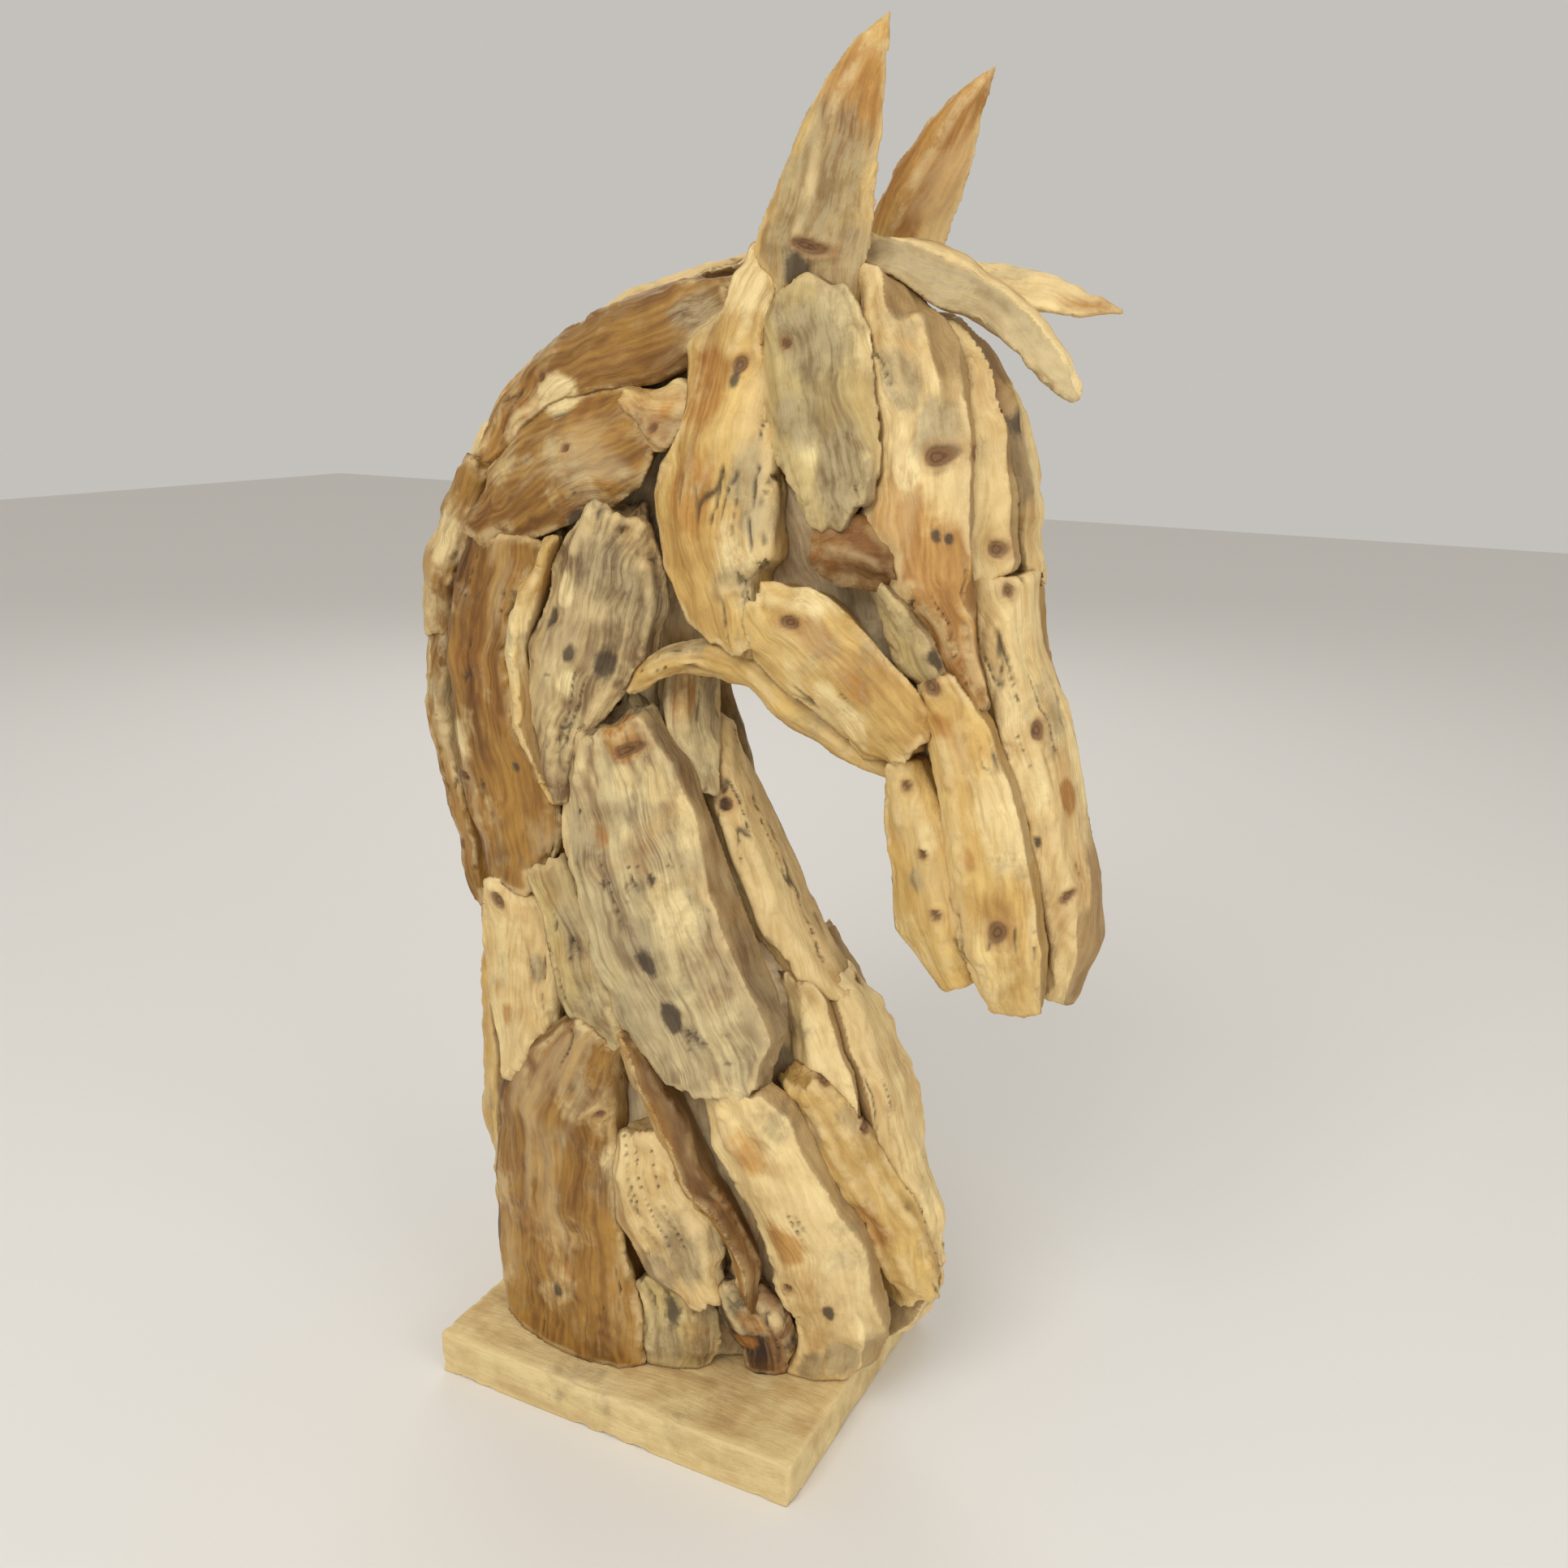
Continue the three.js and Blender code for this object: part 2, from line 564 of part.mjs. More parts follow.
/** The largest body of a cut piece: the slivers that a cut leaves are dropped. */
function largest(solid) {
  const bodies = solid.decompose();
  return bodies.reduce((best, body) => (body.volume() > best.volume() ? body : best), bodies[0]);
}

/** Whether two boxes share space. */
function boxesMeet(a, b) {
  return [0, 1, 2].every((k) => a.min[k] < b.max[k] && b.min[k] < a.max[k]);
}

/** Cuts a piece to fit the pieces already placed, adds it, and keeps it and its grown copy as a cutter. */
function place(name, wood, body, grown) {
  const near = cutters.filter((cutter) => boxesMeet(cutter.boundingBox(), body.boundingBox()));
  const fitted = largest(near.reduce((rest, cutter) => rest.subtract(cutter), body));
  cutters.push(grown.add(body));
  const { vertProperties, triVerts } = fitted.getMesh();
  const geometry = new THREE.BufferGeometry();
  geometry.setAttribute('position', new THREE.BufferAttribute(vertProperties, 3));
  geometry.setIndex(new THREE.BufferAttribute(triVerts, 1));
  geometry.computeVertexNormals();
  const material = new THREE.MeshStandardMaterial({ color: WOOD[wood], roughness: 0.85, metalness: 0 });
  const mesh = new THREE.Mesh(geometry, material);
  mesh.name = name;
  sculpture.add(mesh);
}

function placePlank(levels, name, pieces) {
  const piece = pieces[name];
  place(name, piece.wood, plankBody(levels, piece), plankBody(levels, piece, JOINT_GAP));
}

function placeLimb(name) {
  const limb = LIMBS[name];
  place(name, limb.wood, limbBody(limb), limbBody(limb, JOINT_GAP));
}

function placeInnerWood(name, levels, span) {
  place(name, 'inner', innerWoodBody(levels, span), innerWoodBody(levels, span, JOINT_GAP));
}

const trimmedTo = PLINTH_THICKNESS + JOINT_GAP;
place('plinth', 'sawn', blockBody(PLINTH_LENGTH, PLINTH_WIDTH, PLINTH_THICKNESS, 0),
  blockBody(CUTTER_SIZE, CUTTER_SIZE, CUTTER_SIZE, trimmedTo - CUTTER_SIZE));
placeInnerWood('head_inner_wood', HEAD, HEAD_INNER_WOOD);
placeInnerWood('neck_inner_wood', NECK, NECK_INNER_WOOD);

// The limbs are cut to fit the pieces that lie over them, and every other piece to fit the limbs.
const OVER_THE_LIMBS = ['temple_slab', 'eye', 'cheek_slab'];
const otherHeadPieces = Object.keys(HEAD_PIECES).filter((name) => !OVER_THE_LIMBS.includes(name));
OVER_THE_LIMBS.forEach((name) => placePlank(HEAD, name, HEAD_PIECES));
Object.keys(LIMBS).forEach(placeLimb);
otherHeadPieces.forEach((name) => placePlank(HEAD, name, HEAD_PIECES));
Object.keys(NECK_PIECES).forEach((name) => placePlank(NECK, name, NECK_PIECES));

export default sculpture;
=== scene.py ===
"""Driftwood horse head on a sawn plinth, dressed in carved and weathered root wood."""

import math

import bmesh
import bpy
import numpy as np
from mathutils import Matrix, Vector, kdtree


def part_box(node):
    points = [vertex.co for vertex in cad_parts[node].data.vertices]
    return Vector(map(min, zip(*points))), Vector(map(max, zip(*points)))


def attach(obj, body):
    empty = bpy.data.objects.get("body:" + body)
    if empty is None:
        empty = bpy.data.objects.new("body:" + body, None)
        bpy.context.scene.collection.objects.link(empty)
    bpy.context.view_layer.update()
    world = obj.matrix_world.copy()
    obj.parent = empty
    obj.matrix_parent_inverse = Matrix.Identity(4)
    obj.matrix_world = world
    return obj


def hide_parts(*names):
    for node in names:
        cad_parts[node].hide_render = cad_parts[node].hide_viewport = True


bl_info = {
    "name": "Driftwood Horse Head",
    "version": (1, 0, 0),
    "blender": (4, 5, 0),
    "location": "View3D > Sidebar > Driftwood",
    "description": "Carves and finishes a horse head pieced together from root wood",
    "category": "Object",
}

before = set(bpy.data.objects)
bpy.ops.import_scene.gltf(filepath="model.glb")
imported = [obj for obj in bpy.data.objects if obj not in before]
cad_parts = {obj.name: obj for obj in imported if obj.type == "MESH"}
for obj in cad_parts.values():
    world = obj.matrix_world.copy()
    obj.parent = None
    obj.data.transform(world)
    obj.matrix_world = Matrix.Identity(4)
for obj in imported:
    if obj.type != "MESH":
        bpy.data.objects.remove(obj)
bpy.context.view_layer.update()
MM = 0.001
PLINTH_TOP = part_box("plinth")[1].z

# Every wood: what its record slot is called, its colours from light to dark, how grey it has weathered,
# how strong its figure is and how rough it is.
WOODS = {
    "sapwood": {
        "slot": "pale_sapwood", "light": (0.88, 0.69, 0.33), "deep": (0.58, 0.37, 0.14),
        "grey": 0.16, "figure": 0.6, "rough": 0.62,
    },
    "tan": {
        "slot": "tan_wood", "light": (0.77, 0.53, 0.18), "deep": (0.46, 0.27, 0.075),
        "grey": 0.2, "figure": 0.65, "rough": 0.58,
    },
    "heartwood": {
        "slot": "orange_heartwood", "light": (0.43, 0.23, 0.045), "deep": (0.175, 0.07, 0.012),
        "grey": 0.16, "figure": 0.75, "rough": 0.5,
    },
    "weathered": {
        "slot": "grey_weathered_wood", "light": (0.60, 0.46, 0.19), "deep": (0.25, 0.17, 0.075),
        "grey": 0.5, "figure": 0.75, "rough": 0.78,
    },
    "bark": {
        "slot": "barky_root_wood", "light": (0.70, 0.57, 0.30), "deep": (0.30, 0.215, 0.115),
        "grey": 0.55, "figure": 0.85, "rough": 0.82,
    },
    "burl": {
        "slot": "burl_wood", "light": (0.62, 0.46, 0.21), "deep": (0.19, 0.11, 0.05),
        "grey": 0.35, "figure": 0.85, "rough": 0.75,
    },
    "burnt": {
        "slot": "dark_root_wood", "light": (0.34, 0.18, 0.07), "deep": (0.04, 0.025, 0.018),
        "grey": 0.3, "figure": 0.95, "rough": 0.85,
    },
    "inner": {
        "slot": "grey_inner_wood", "light": (0.80, 0.65, 0.40), "deep": (0.40, 0.30, 0.18),
        "grey": 0.6, "figure": 0.8, "rough": 0.9,
    },
    "sawn": {
        "slot": "sawn_plinth_wood", "light": (0.80, 0.63, 0.31), "deep": (0.64, 0.48, 0.22),
        "grey": 0.05, "figure": 0.35, "rough": 0.7,
    },
}

# Each piece: its wood, its colour marks (kind, three shares of the piece's box, radius in mm) and its
# knots (three shares of the piece's box, radius in mm). "grey_side" is the way its weathered side faces,
# and "end_grain" is for a piece cut across the grain.
PIECES = {
    "right_ear": {
        "wood": "tan",
        "marks": [
            ("grey", 0.56, 0.10, 0.46, 34), ("grey", 0.45, 0.09, 0.28, 34), ("dark", 0.39, 0.15, 0.13, 10),
            ("orange", 0.82, 0.28, 0.73, 26), ("grey", 0.75, 0.3, 0.2, 20),
        ],
        "knots": [(0.46, 0.16, 0.23, 4)],
    },
    "left_ear": {"wood": "tan", "marks": [("orange", 0.5, 0.3, 0.75, 60)]},
    "forelock_branch": {"wood": "sapwood", "grey_side": (-0.35, -0.7, -0.6)},
    "forelock_point": {"wood": "sapwood", "marks": [("orange", 0.9, 0.42, 0.25, 20)]},
    "temple_slab": {
        "wood": "weathered",
        "marks": [
            ("grey", 0.40, 0.24, 0.75, 24), ("grey", 0.81, 0.04, 0.19, 26), ("grey", 0.39, 0.08, 0.43, 20),
            ("pale", 0.55, 0.45, 0.90, 16), ("pale", 0.82, 0.40, 0.71, 13), ("pale", 0.50, 0.05, 0.32, 12),
        ],
        "knots": [(0.25, 0.24, 0.74, 4)],
    },
    "eye": {"wood": "heartwood", "end_grain": True, "marks": [("orange", 0.5, 0.1, 0.5, 30)]},
    "face_slab": {
        "wood": "sapwood",
        "marks": [
            ("grey", 0.71, 0.19, 0.64, 18), ("grey", 0.51, 0.20, 0.74, 14), ("orange", 0.59, 0.03, 0.45, 26),
            ("orange", 0.78, 0.09, 0.31, 32), ("orange", 0.90, 0.18, 0.15, 25),
            ("pale", 0.61, 0.08, 0.55, 12),
            ("dark", 0.76, 0.10, 0.41, 4), ("dark", 0.81, 0.16, 0.40, 3),
        ],
        "knots": [(0.73, 0.17, 0.59, 7)],
    },
    "under_eye_chip": {"wood": "weathered", "marks": [("dark", 0.97, 0.41, 0.30, 4)]},
    "brow_strip": {"wood": "sapwood", "knots": [(0.93, 0.14, 0.12, 6)]},
    "left_brow_strip": {
        "wood": "sapwood", "marks": [("dark", 0.69, 0.06, 0.70, 9), ("grey", 0.87, 0.15, 0.46, 20)],
    },
    "left_temple_slab": {"wood": "weathered", "marks": [("pale", 0.5, 0.8, 0.8, 25)]},
    "cheek_slab": {
        "wood": "tan",
        "marks": [
            ("pale", 0.82, 0.43, 0.93, 25), ("orange", 0.51, 0.16, 0.68, 22),
            ("orange", 0.45, 0.08, 0.40, 26),
            ("grey", 0.84, 0.06, 0.45, 18), ("grey", 0.94, 0.08, 0.36, 14), ("pale", 0.83, 0.04, 0.24, 24),
            ("pale", 0.87, 0.14, 0.14, 18), ("dark", 0.74, 0.15, 0.69, 5),
        ],
        "knots": [(0.75, 0.20, 0.73, 6)],
    },
    "jaw_plank": {
        "wood": "tan",
        "marks": [
            ("orange", 0.44, 0.04, 0.73, 14), ("orange", 0.65, 0.14, 0.51, 12),
            ("pale", 0.37, 0.11, 0.94, 14),
            ("pale", 0.56, 0.23, 0.31, 18),
        ],
        "knots": [(0.27, 0.01, 0.81, 7)],
    },
    "jaw_branch": {"wood": "tan", "marks": [("grey", 0.27, 0.27, 0.94, 16)]},
    "left_cheek_slab": {
        "wood": "tan",
        "marks": [("orange", 0.5, 0.9, 0.5, 30)],
        "knots": [(0.6, 0.9, 0.7, 6)],
    },
    "left_jaw_plank": {"wood": "tan", "marks": [("pale", 0.5, 0.9, 0.5, 20)]},
    "muzzle_front": {
        "wood": "tan",
        "marks": [
            ("orange", 0.33, 0.09, 0.69, 9), ("orange", 0.46, 0.15, 0.48, 9), ("orange", 0.26, 0.03, 0.85, 9),
            ("pale", 0.7, 0.3, 0.6, 30),
        ],
        "knots": [(0.20, 0.01, 0.96, 7), (0.70, 0.16, 0.27, 8)],
    },
    "muzzle_side": {
        "wood": "tan", "marks": [("pale", 0.56, 0.15, 0.71, 9), ("grey", 0.4, 0.1, 0.5, 8)],
        "knots": [(0.51, 0.14, 0.63, 4), (0.64, 0.14, 0.37, 4), (0.32, 0.06, 0.92, 4)],
    },
    "nose_plank": {
        "wood": "sapwood",
        "marks": [
            ("dark", 0.61, 0.10, 0.40, 3), ("pale", 0.34, 0.04, 0.71, 18), ("pale", 0.53, 0.09, 0.54, 14),
            ("orange", 0.7, 0.4, 0.5, 9),
        ],
        "knots": [(0.30, 0.13, 0.97, 5), (0.55, 0.19, 0.66, 7), (0.80, 0.15, 0.28, 5)],
    },
    "left_face_slab": {
        "wood": "tan",
        "marks": [("orange", 0.5, 0.9, 0.4, 30)],
        "knots": [(0.5, 0.9, 0.7, 6)],
    },
    "left_muzzle_side": {"wood": "tan", "knots": [(0.5, 0.9, 0.6, 5)]},
    "chin_plank": {"wood": "weathered"},
    "neck_chip": {
        "wood": "tan",
        "marks": [("orange", 0.5, 0.1, 0.5, 25)],
        "knots": [(0.49, 0.03, 0.36, 4)],
    },
    "mid_neck_slab": {
        "wood": "heartwood", "marks": [("dark", 0.64, 0.26, 0.24, 6), ("pale", 0.5, 0.3, 0.95, 10)],
        "knots": [(0.57, 0.09, 0.64, 4)],
    },
    "upper_neck_slab": {
        "wood": "heartwood", "marks": [("grey", 0.85, 0.4, 0.8, 18), ("pale", 0.35, 0.2, 0.4, 16)],
        "knots": [(0.3, 0.2, 0.45, 4)],
    },
    "crest_strip": {"wood": "sapwood"},
    "burl": {
        "wood": "burl",
        "marks": [
            ("grey", 0.68, 0.15, 0.80, 22), ("grey", 0.90, 0.37, 0.72, 18), ("pale", 0.38, 0.10, 0.71, 10),
            ("pale", 0.38, 0.05, 0.41, 9), ("dark", 0.24, 0.13, 0.61, 7), ("dark", 0.43, 0.08, 0.51, 5),
            ("dark", 0.64, 0.22, 0.47, 8),
        ],
    },
    "burl_rim": {"wood": "tan", "marks": [("pale", 0.4, 0.2, 0.6, 25)]},
    "bark_log": {
        "wood": "bark",
        "marks": [
            ("orange", 0.30, 0.25, 0.97, 16), ("pale", 0.32, 0.17, 0.84, 11), ("pale", 0.46, 0.50, 0.88, 11),
            ("pale", 0.14, 0.13, 0.89, 6), ("orange", 0.24, 0.09, 0.69, 8), ("grey", 0.11, 0.11, 0.67, 20),
            ("grey", 0.42, 0.05, 0.43, 16), ("dark", 0.46, 0.04, 0.36, 8), ("dark", 0.57, 0.02, 0.21, 9),
            ("pale", 0.54, 0.15, 0.49, 22), ("pale", 0.57, 0.49, 0.72, 18), ("pale", 0.84, 0.12, 0.02, 12),
        ],
        "knots": [(0.35, 0.32, 0.93, 5)],
    },
    "throat_bit": {
        "wood": "bark",
        "marks": [("orange", 0.53, 0.11, 0.72, 14), ("grey", 0.69, 0.58, 0.78, 12)],
    },
    "throat_plank_upper": {"wood": "sapwood", "knots": [(0.34, 0.17, 0.72, 6)]},
    "throat_plank_lower": {
        "wood": "sapwood",
        "knots": [(0.3, 0.5, 0.9, 4)],
        "marks": [("orange", 0.4, 0.4, 0.6, 16)],
    },
    "pale_splinter": {
        "wood": "sapwood",
        "knots": [(0.02, 0.73, 0.98, 5)],
        "marks": [("grey", 0.2, 0.4, 0.7, 10)],
    },
    "front_branch": {
        "wood": "tan", "marks": [("grey", 0.3, 0.3, 0.8, 16), ("orange", 0.6, 0.3, 0.4, 20)],
        "knots": [(0.33, 0.22, 0.97, 4), (0.55, 0.41, 0.80, 4), (0.6, 0.3, 0.4, 4)],
    },
    "front_log": {
        "wood": "sapwood",
        "marks": [
            ("orange", 0.33, 0.05, 0.82, 18), ("orange", 0.52, 0.15, 0.54, 16), ("dark", 0.74, 0.33, 0.34, 4),
            ("grey", 0.76, 0.56, 0.13, 18), ("grey", 0.57, 0.56, 0.06, 14), ("grey", 0.2, 0.05, 0.6, 8),
        ],
        "knots": [(0.53, 0.25, 0.39, 5)],
    },
    "foot_splinter": {"wood": "sapwood"},
    "slanted_stick": {"wood": "heartwood", "knots": [(0.69, 0.22, 0.38, 4)]},
    "lower_rear_slab": {
        "wood": "heartwood",
        "marks": [
            ("dark", 0.53, 0.04, 0.20, 6), ("orange", 0.59, 0.03, 0.26, 7), ("pale", 0.9, 0.3, 0.6, 14),
        ],
        "knots": [(0.79, 0.14, 0.74, 5)],
    },
    "pale_oval_slab": {
        "wood": "sapwood", "marks": [("orange", 0.35, 0.11, 0.32, 9), ("grey", 0.8, 0.1, 0.6, 10)],
        "knots": [(0.38, 0.06, 0.89, 7)],
    },
    "striated_slab": {"wood": "weathered", "marks": [("grey", 0.5, 0.1, 0.6, 18)]},
    "pale_lower_slab": {
        "wood": "sapwood", "marks": [("grey", 0.74, 0.13, 0.32, 18), ("grey", 0.5, 0.1, 0.15, 14)],
    },
    "burnt_root": {
        "wood": "burnt",
        "marks": [("orange", 0.55, 0.12, 0.67, 10), ("orange", 0.23, 0.28, 0.43, 8)],
    },
    "bottom_chunk": {
        "wood": "weathered",
        "marks": [("dark", 0.55, 0.11, 0.68, 12), ("grey", 0.4, 0.1, 0.3, 25)],
    },
    "rear_neck_slab": {
        "wood": "heartwood", "marks": [("dark", 0.65, 0.03, 0.35, 5), ("pale", 0.15, 0.3, 0.4, 12)],
        "knots": [(0.2, 0.2, 0.3, 4)],
    },
    "nape_strip": {"wood": "heartwood", "marks": [("pale", 0.4, 0.2, 0.6, 20)]},
    "nape_plank": {"wood": "heartwood", "knots": [(0.1, 0.5, 0.6, 6)]},
    "back_plank_lower": {
        "wood": "tan",
        "marks": [("grey", 0.1, 0.5, 0.4, 40)],
        "knots": [(0.1, 0.5, 0.7, 6)],
    },
    "left_upper_neck_slab": {"wood": "heartwood", "knots": [(0.5, 0.9, 0.5, 6)]},
    "left_mid_neck_slab": {"wood": "tan", "marks": [("orange", 0.5, 0.9, 0.5, 30)]},
    "left_rear_neck_slab": {"wood": "heartwood", "marks": [("pale", 0.2, 0.8, 0.5, 20)]},
    "left_throat_slab": {"wood": "weathered"},
    "left_neck_log": {
        "wood": "bark", "marks": [("pale", 0.5, 0.9, 0.6, 30), ("orange", 0.4, 0.9, 0.8, 15)],
        "knots": [(0.5, 0.9, 0.4, 7)],
    },
    "left_front_slab": {
        "wood": "tan",
        "marks": [("orange", 0.6, 0.9, 0.5, 30)],
        "knots": [(0.6, 0.9, 0.3, 6)],
    },
    "left_lower_slab": {
        "wood": "sapwood",
        "marks": [("grey", 0.5, 0.9, 0.3, 20)],
        "knots": [(0.4, 0.9, 0.7, 6)],
    },
    "left_lower_rear_slab": {"wood": "heartwood", "marks": [("pale", 0.8, 0.9, 0.5, 14)]},
}

INNER_WOOD = ("head_inner_wood", "neck_inner_wood")
MARK_KINDS = ("grey", "orange", "pale", "dark")

# How near an edge nothing is worn smooth, how wide a raised rim is, and how long a torn end is.
KEPT_EDGE = 1.5 * MM
RIM_WIDTH = 10 * MM
TORN_LENGTH = 24 * MM


# ---- sizes and colours that a user would change ------------------------------------------------


class DriftwoodCarving(bpy.types.PropertyGroup):
    """How the wood is worn and carved."""

    near_mesh: bpy.props.FloatProperty(
        name="Near mesh", description="Mesh size on the pieces that show most",
        default=2.2 * MM, unit="LENGTH",
    )
    far_mesh: bpy.props.FloatProperty(
        name="Far mesh", description="Mesh size on the left side and the back",
        default=3.6 * MM, unit="LENGTH",
    )
    inner_mesh: bpy.props.FloatProperty(
        name="Inner mesh", description="Mesh size of the inner wood",
        default=5 * MM, unit="LENGTH",
    )
    plinth_mesh: bpy.props.FloatProperty(
        name="Plinth mesh", description="Mesh size of the plinth", default=2.6 * MM, unit="LENGTH",
    )
    crisp_edge: bpy.props.FloatProperty(
        name="Crisp edge", description="How far from an edge the facets start to be worn smooth",
        default=9 * MM, unit="LENGTH",
    )
    smoothing: bpy.props.IntProperty(
        name="Smoothing", description="Passes that wear the facets smooth", default=26,
    )
    wave_height: bpy.props.FloatProperty(
        name="Wave height", description="How far the joints wander", default=7 * MM, unit="LENGTH",
    )
    wave_length: bpy.props.FloatProperty(
        name="Wave length", description="How often the joints wander", default=55 * MM, unit="LENGTH",
    )
    rim_lift: bpy.props.FloatProperty(
        name="Rim lift", description="How far the rims of a slab stand up, unevenly along the edge",
        default=4.0 * MM, unit="LENGTH",
    )
    joint_fill: bpy.props.FloatProperty(
        name="Joint fill", description="How far a slab spreads into the joint beside it",
        default=2.6 * MM, unit="LENGTH",
    )
    lump_height: bpy.props.FloatProperty(
        name="Lump height", description="Broad lumps and hollows of root wood",
        default=5 * MM, unit="LENGTH",
    )
    scallop_depth: bpy.props.FloatProperty(
        name="Scallop depth", description="Long worn hollows with a crest between them",
        default=2.6 * MM, unit="LENGTH",
    )
    ridge_height: bpy.props.FloatProperty(
        name="Ridge height", description="Ridges that run along the grain",
        default=1.5 * MM, unit="LENGTH",
    )
    ridge_spacing: bpy.props.FloatProperty(
        name="Ridge spacing", description="Distance between ridges, across the grain",
        default=11 * MM, unit="LENGTH",
    )
    split_depth: bpy.props.FloatProperty(
        name="Split depth", description="Depth of the drying splits", default=2.4 * MM, unit="LENGTH",
    )
    edge_wear: bpy.props.FloatProperty(
        name="Edge wear", description="How far chipped edges drop",
        default=3.0 * MM, unit="LENGTH",
    )
    torn_ends: bpy.props.FloatProperty(
        name="Torn ends", description="How ragged the ends of the slabs are", default=9 * MM, unit="LENGTH",
    )


class DriftwoodStage(bpy.types.PropertyGroup):
    """The floor, the lights and the camera."""

    floor_colour: bpy.props.FloatVectorProperty(
        name="Floor", description="Colour of the floor", subtype="COLOR", size=3,
        default=(0.80, 0.78, 0.74), min=0, max=1,
    )
    floor_size: bpy.props.FloatProperty(
        name="Floor size", description="Side of the floor", default=14, unit="LENGTH",
    )
    camera_azimuth: bpy.props.FloatProperty(
        name="Azimuth", description="How far the camera stands round from the right side",
        default=math.radians(26.47), subtype="ANGLE",
    )
    camera_pitch: bpy.props.FloatProperty(
        name="Pitch", description="How far the camera looks down",
        default=math.radians(16.35), subtype="ANGLE",
    )
    camera_roll: bpy.props.FloatProperty(
        name="Roll", description="How far the camera leans", default=math.radians(1.12), subtype="ANGLE",
    )
    camera_place: bpy.props.FloatVectorProperty(
        name="Place", description="Where the camera stands", size=3, subtype="TRANSLATION",
        default=(0.5261, -0.8922, 0.8008),
    )
    camera_lens: bpy.props.FloatProperty(
        name="Lens", description="Focal length on a 36 mm wide sensor", default=32.76,
    )
    key_power: bpy.props.FloatProperty(
        name="Key light", description="Power of the large soft light", default=44, unit="POWER",
    )
    fill_power: bpy.props.FloatProperty(
        name="Fill light", description="Power of the light from the other side", default=16, unit="POWER",
    )
    sky_strength: bpy.props.FloatProperty(
        name="Sky", description="Strength of the even light all round", default=0.55,
    )


# ---- grain, edges and marks --------------------------------------------------------------------


def merged_copy(node):
    """A CAD node's mesh with its doubles merged."""
    source = bmesh.new()
    source.from_mesh(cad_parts[node].data)
    bmesh.ops.remove_doubles(source, verts=source.verts, dist=0.001 * MM)
    bmesh.ops.dissolve_degenerate(source, edges=source.edges, dist=0.001 * MM)
    return source


def edge_tree(source, least_angle=math.radians(38), step=2 * MM):
    """A search tree of points along a mesh's sharp edges."""
    points = []
    for edge in source.edges:
        if len(edge.link_faces) == 2 and edge.calc_face_angle(0) > least_angle:
            start, end = edge.verts[0].co, edge.verts[1].co
            count = max(1, int((end - start).length / step))
            points += [start.lerp(end, k / count) for k in range(count + 1)]
    tree = kdtree.KDTree(len(points))
    for k, point in enumerate(points):
        tree.insert(point, k)
    tree.balance()
    return tree


def remeshed(source, name, size):
    """The same form as an even mesh of that size."""
    mesh = bpy.data.meshes.new(name)
    source.to_mesh(mesh)
    piece = bpy.data.objects.new(name, mesh)
    bpy.context.scene.collection.objects.link(piece)
    remesh = piece.modifiers.new("even mesh", "REMESH")
    remesh.mode = "VOXEL"
    remesh.voxel_size = size
    return bake_modifiers(piece)


def bake_modifiers(piece):
    """Turns a piece's modifiers into a plain mesh."""
    shape = piece.evaluated_get(bpy.context.evaluated_depsgraph_get())
    mesh = bpy.data.meshes.new_from_object(shape)
    old = piece.data
    piece.modifiers.clear()
    piece.data = mesh
    bpy.data.meshes.remove(old)
    mesh.name = piece.name
    return piece


def read_points(mesh):
    points = np.zeros(len(mesh.vertices) * 3)
    mesh.vertices.foreach_get("co", points)
    return points.reshape(-1, 3)


def read_normals(mesh):
    normals = np.zeros(len(mesh.vertices) * 3)
    mesh.vertices.foreach_get("normal", normals)
    return normals.reshape(-1, 3)


def store(mesh, name, values):
    """Keeps a number or a vector for every point of a mesh."""
    kind = "FLOAT_VECTOR" if values.ndim == 2 else "FLOAT"
    attribute = mesh.attributes.new(name, kind, "POINT")
    attribute.data.foreach_set("vector" if values.ndim == 2 else "value", values.astype(np.float32).ravel())


def smoothed(mesh, points, weights, passes):
    """Points moved towards their neighbours' middle, each as much as its weight says, keeping volume."""
    ends = np.zeros(len(mesh.edges) * 2, np.int64)
    mesh.edges.foreach_get("vertices", ends)
    first, second = ends.reshape(-1, 2).T
    count = len(points)
    degree = np.bincount(first, minlength=count) + np.bincount(second, minlength=count)
    for step in range(passes):
        share = 0.6 if step % 2 == 0 else -0.52
        middle = np.stack([
            np.bincount(first, points[second, k], count) + np.bincount(second, points[first, k], count)
            for k in range(3)
        ], axis=1) / degree[:, None]
        points = points + (middle - points) * (weights * share)[:, None]
    return points


def smoothstep(values, low, high):
    share = np.clip((values - low) / (high - low), 0, 1)
    return share * share * (3 - 2 * share)


def outward_from_body(centre):
    """The way out of the neck or the head at a place: away from its inner wood's middle line."""
    best = min(MIDDLE_LINES, key=lambda place: (place - centre).length)
    away = centre - best
    return away.normalized()


def middle_line(node, slices=14):
    """Points along the middle of an inner wood, from its lowest to its highest."""
    points = read_points(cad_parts[node].data)
    low, high = points[:, 2].min(), points[:, 2].max()
    places = []
    for k in range(slices):
        level = low + (high - low) * (k + 0.5) / slices
        near = points[np.argsort(np.abs(points[:, 2] - level))[:16]]
        places.append(Vector(((near[:, 0].min() + near[:, 0].max()) / 2, 0, level)))
    return places


MIDDLE_LINES = [place for node in INNER_WOOD for place in middle_line(node)]


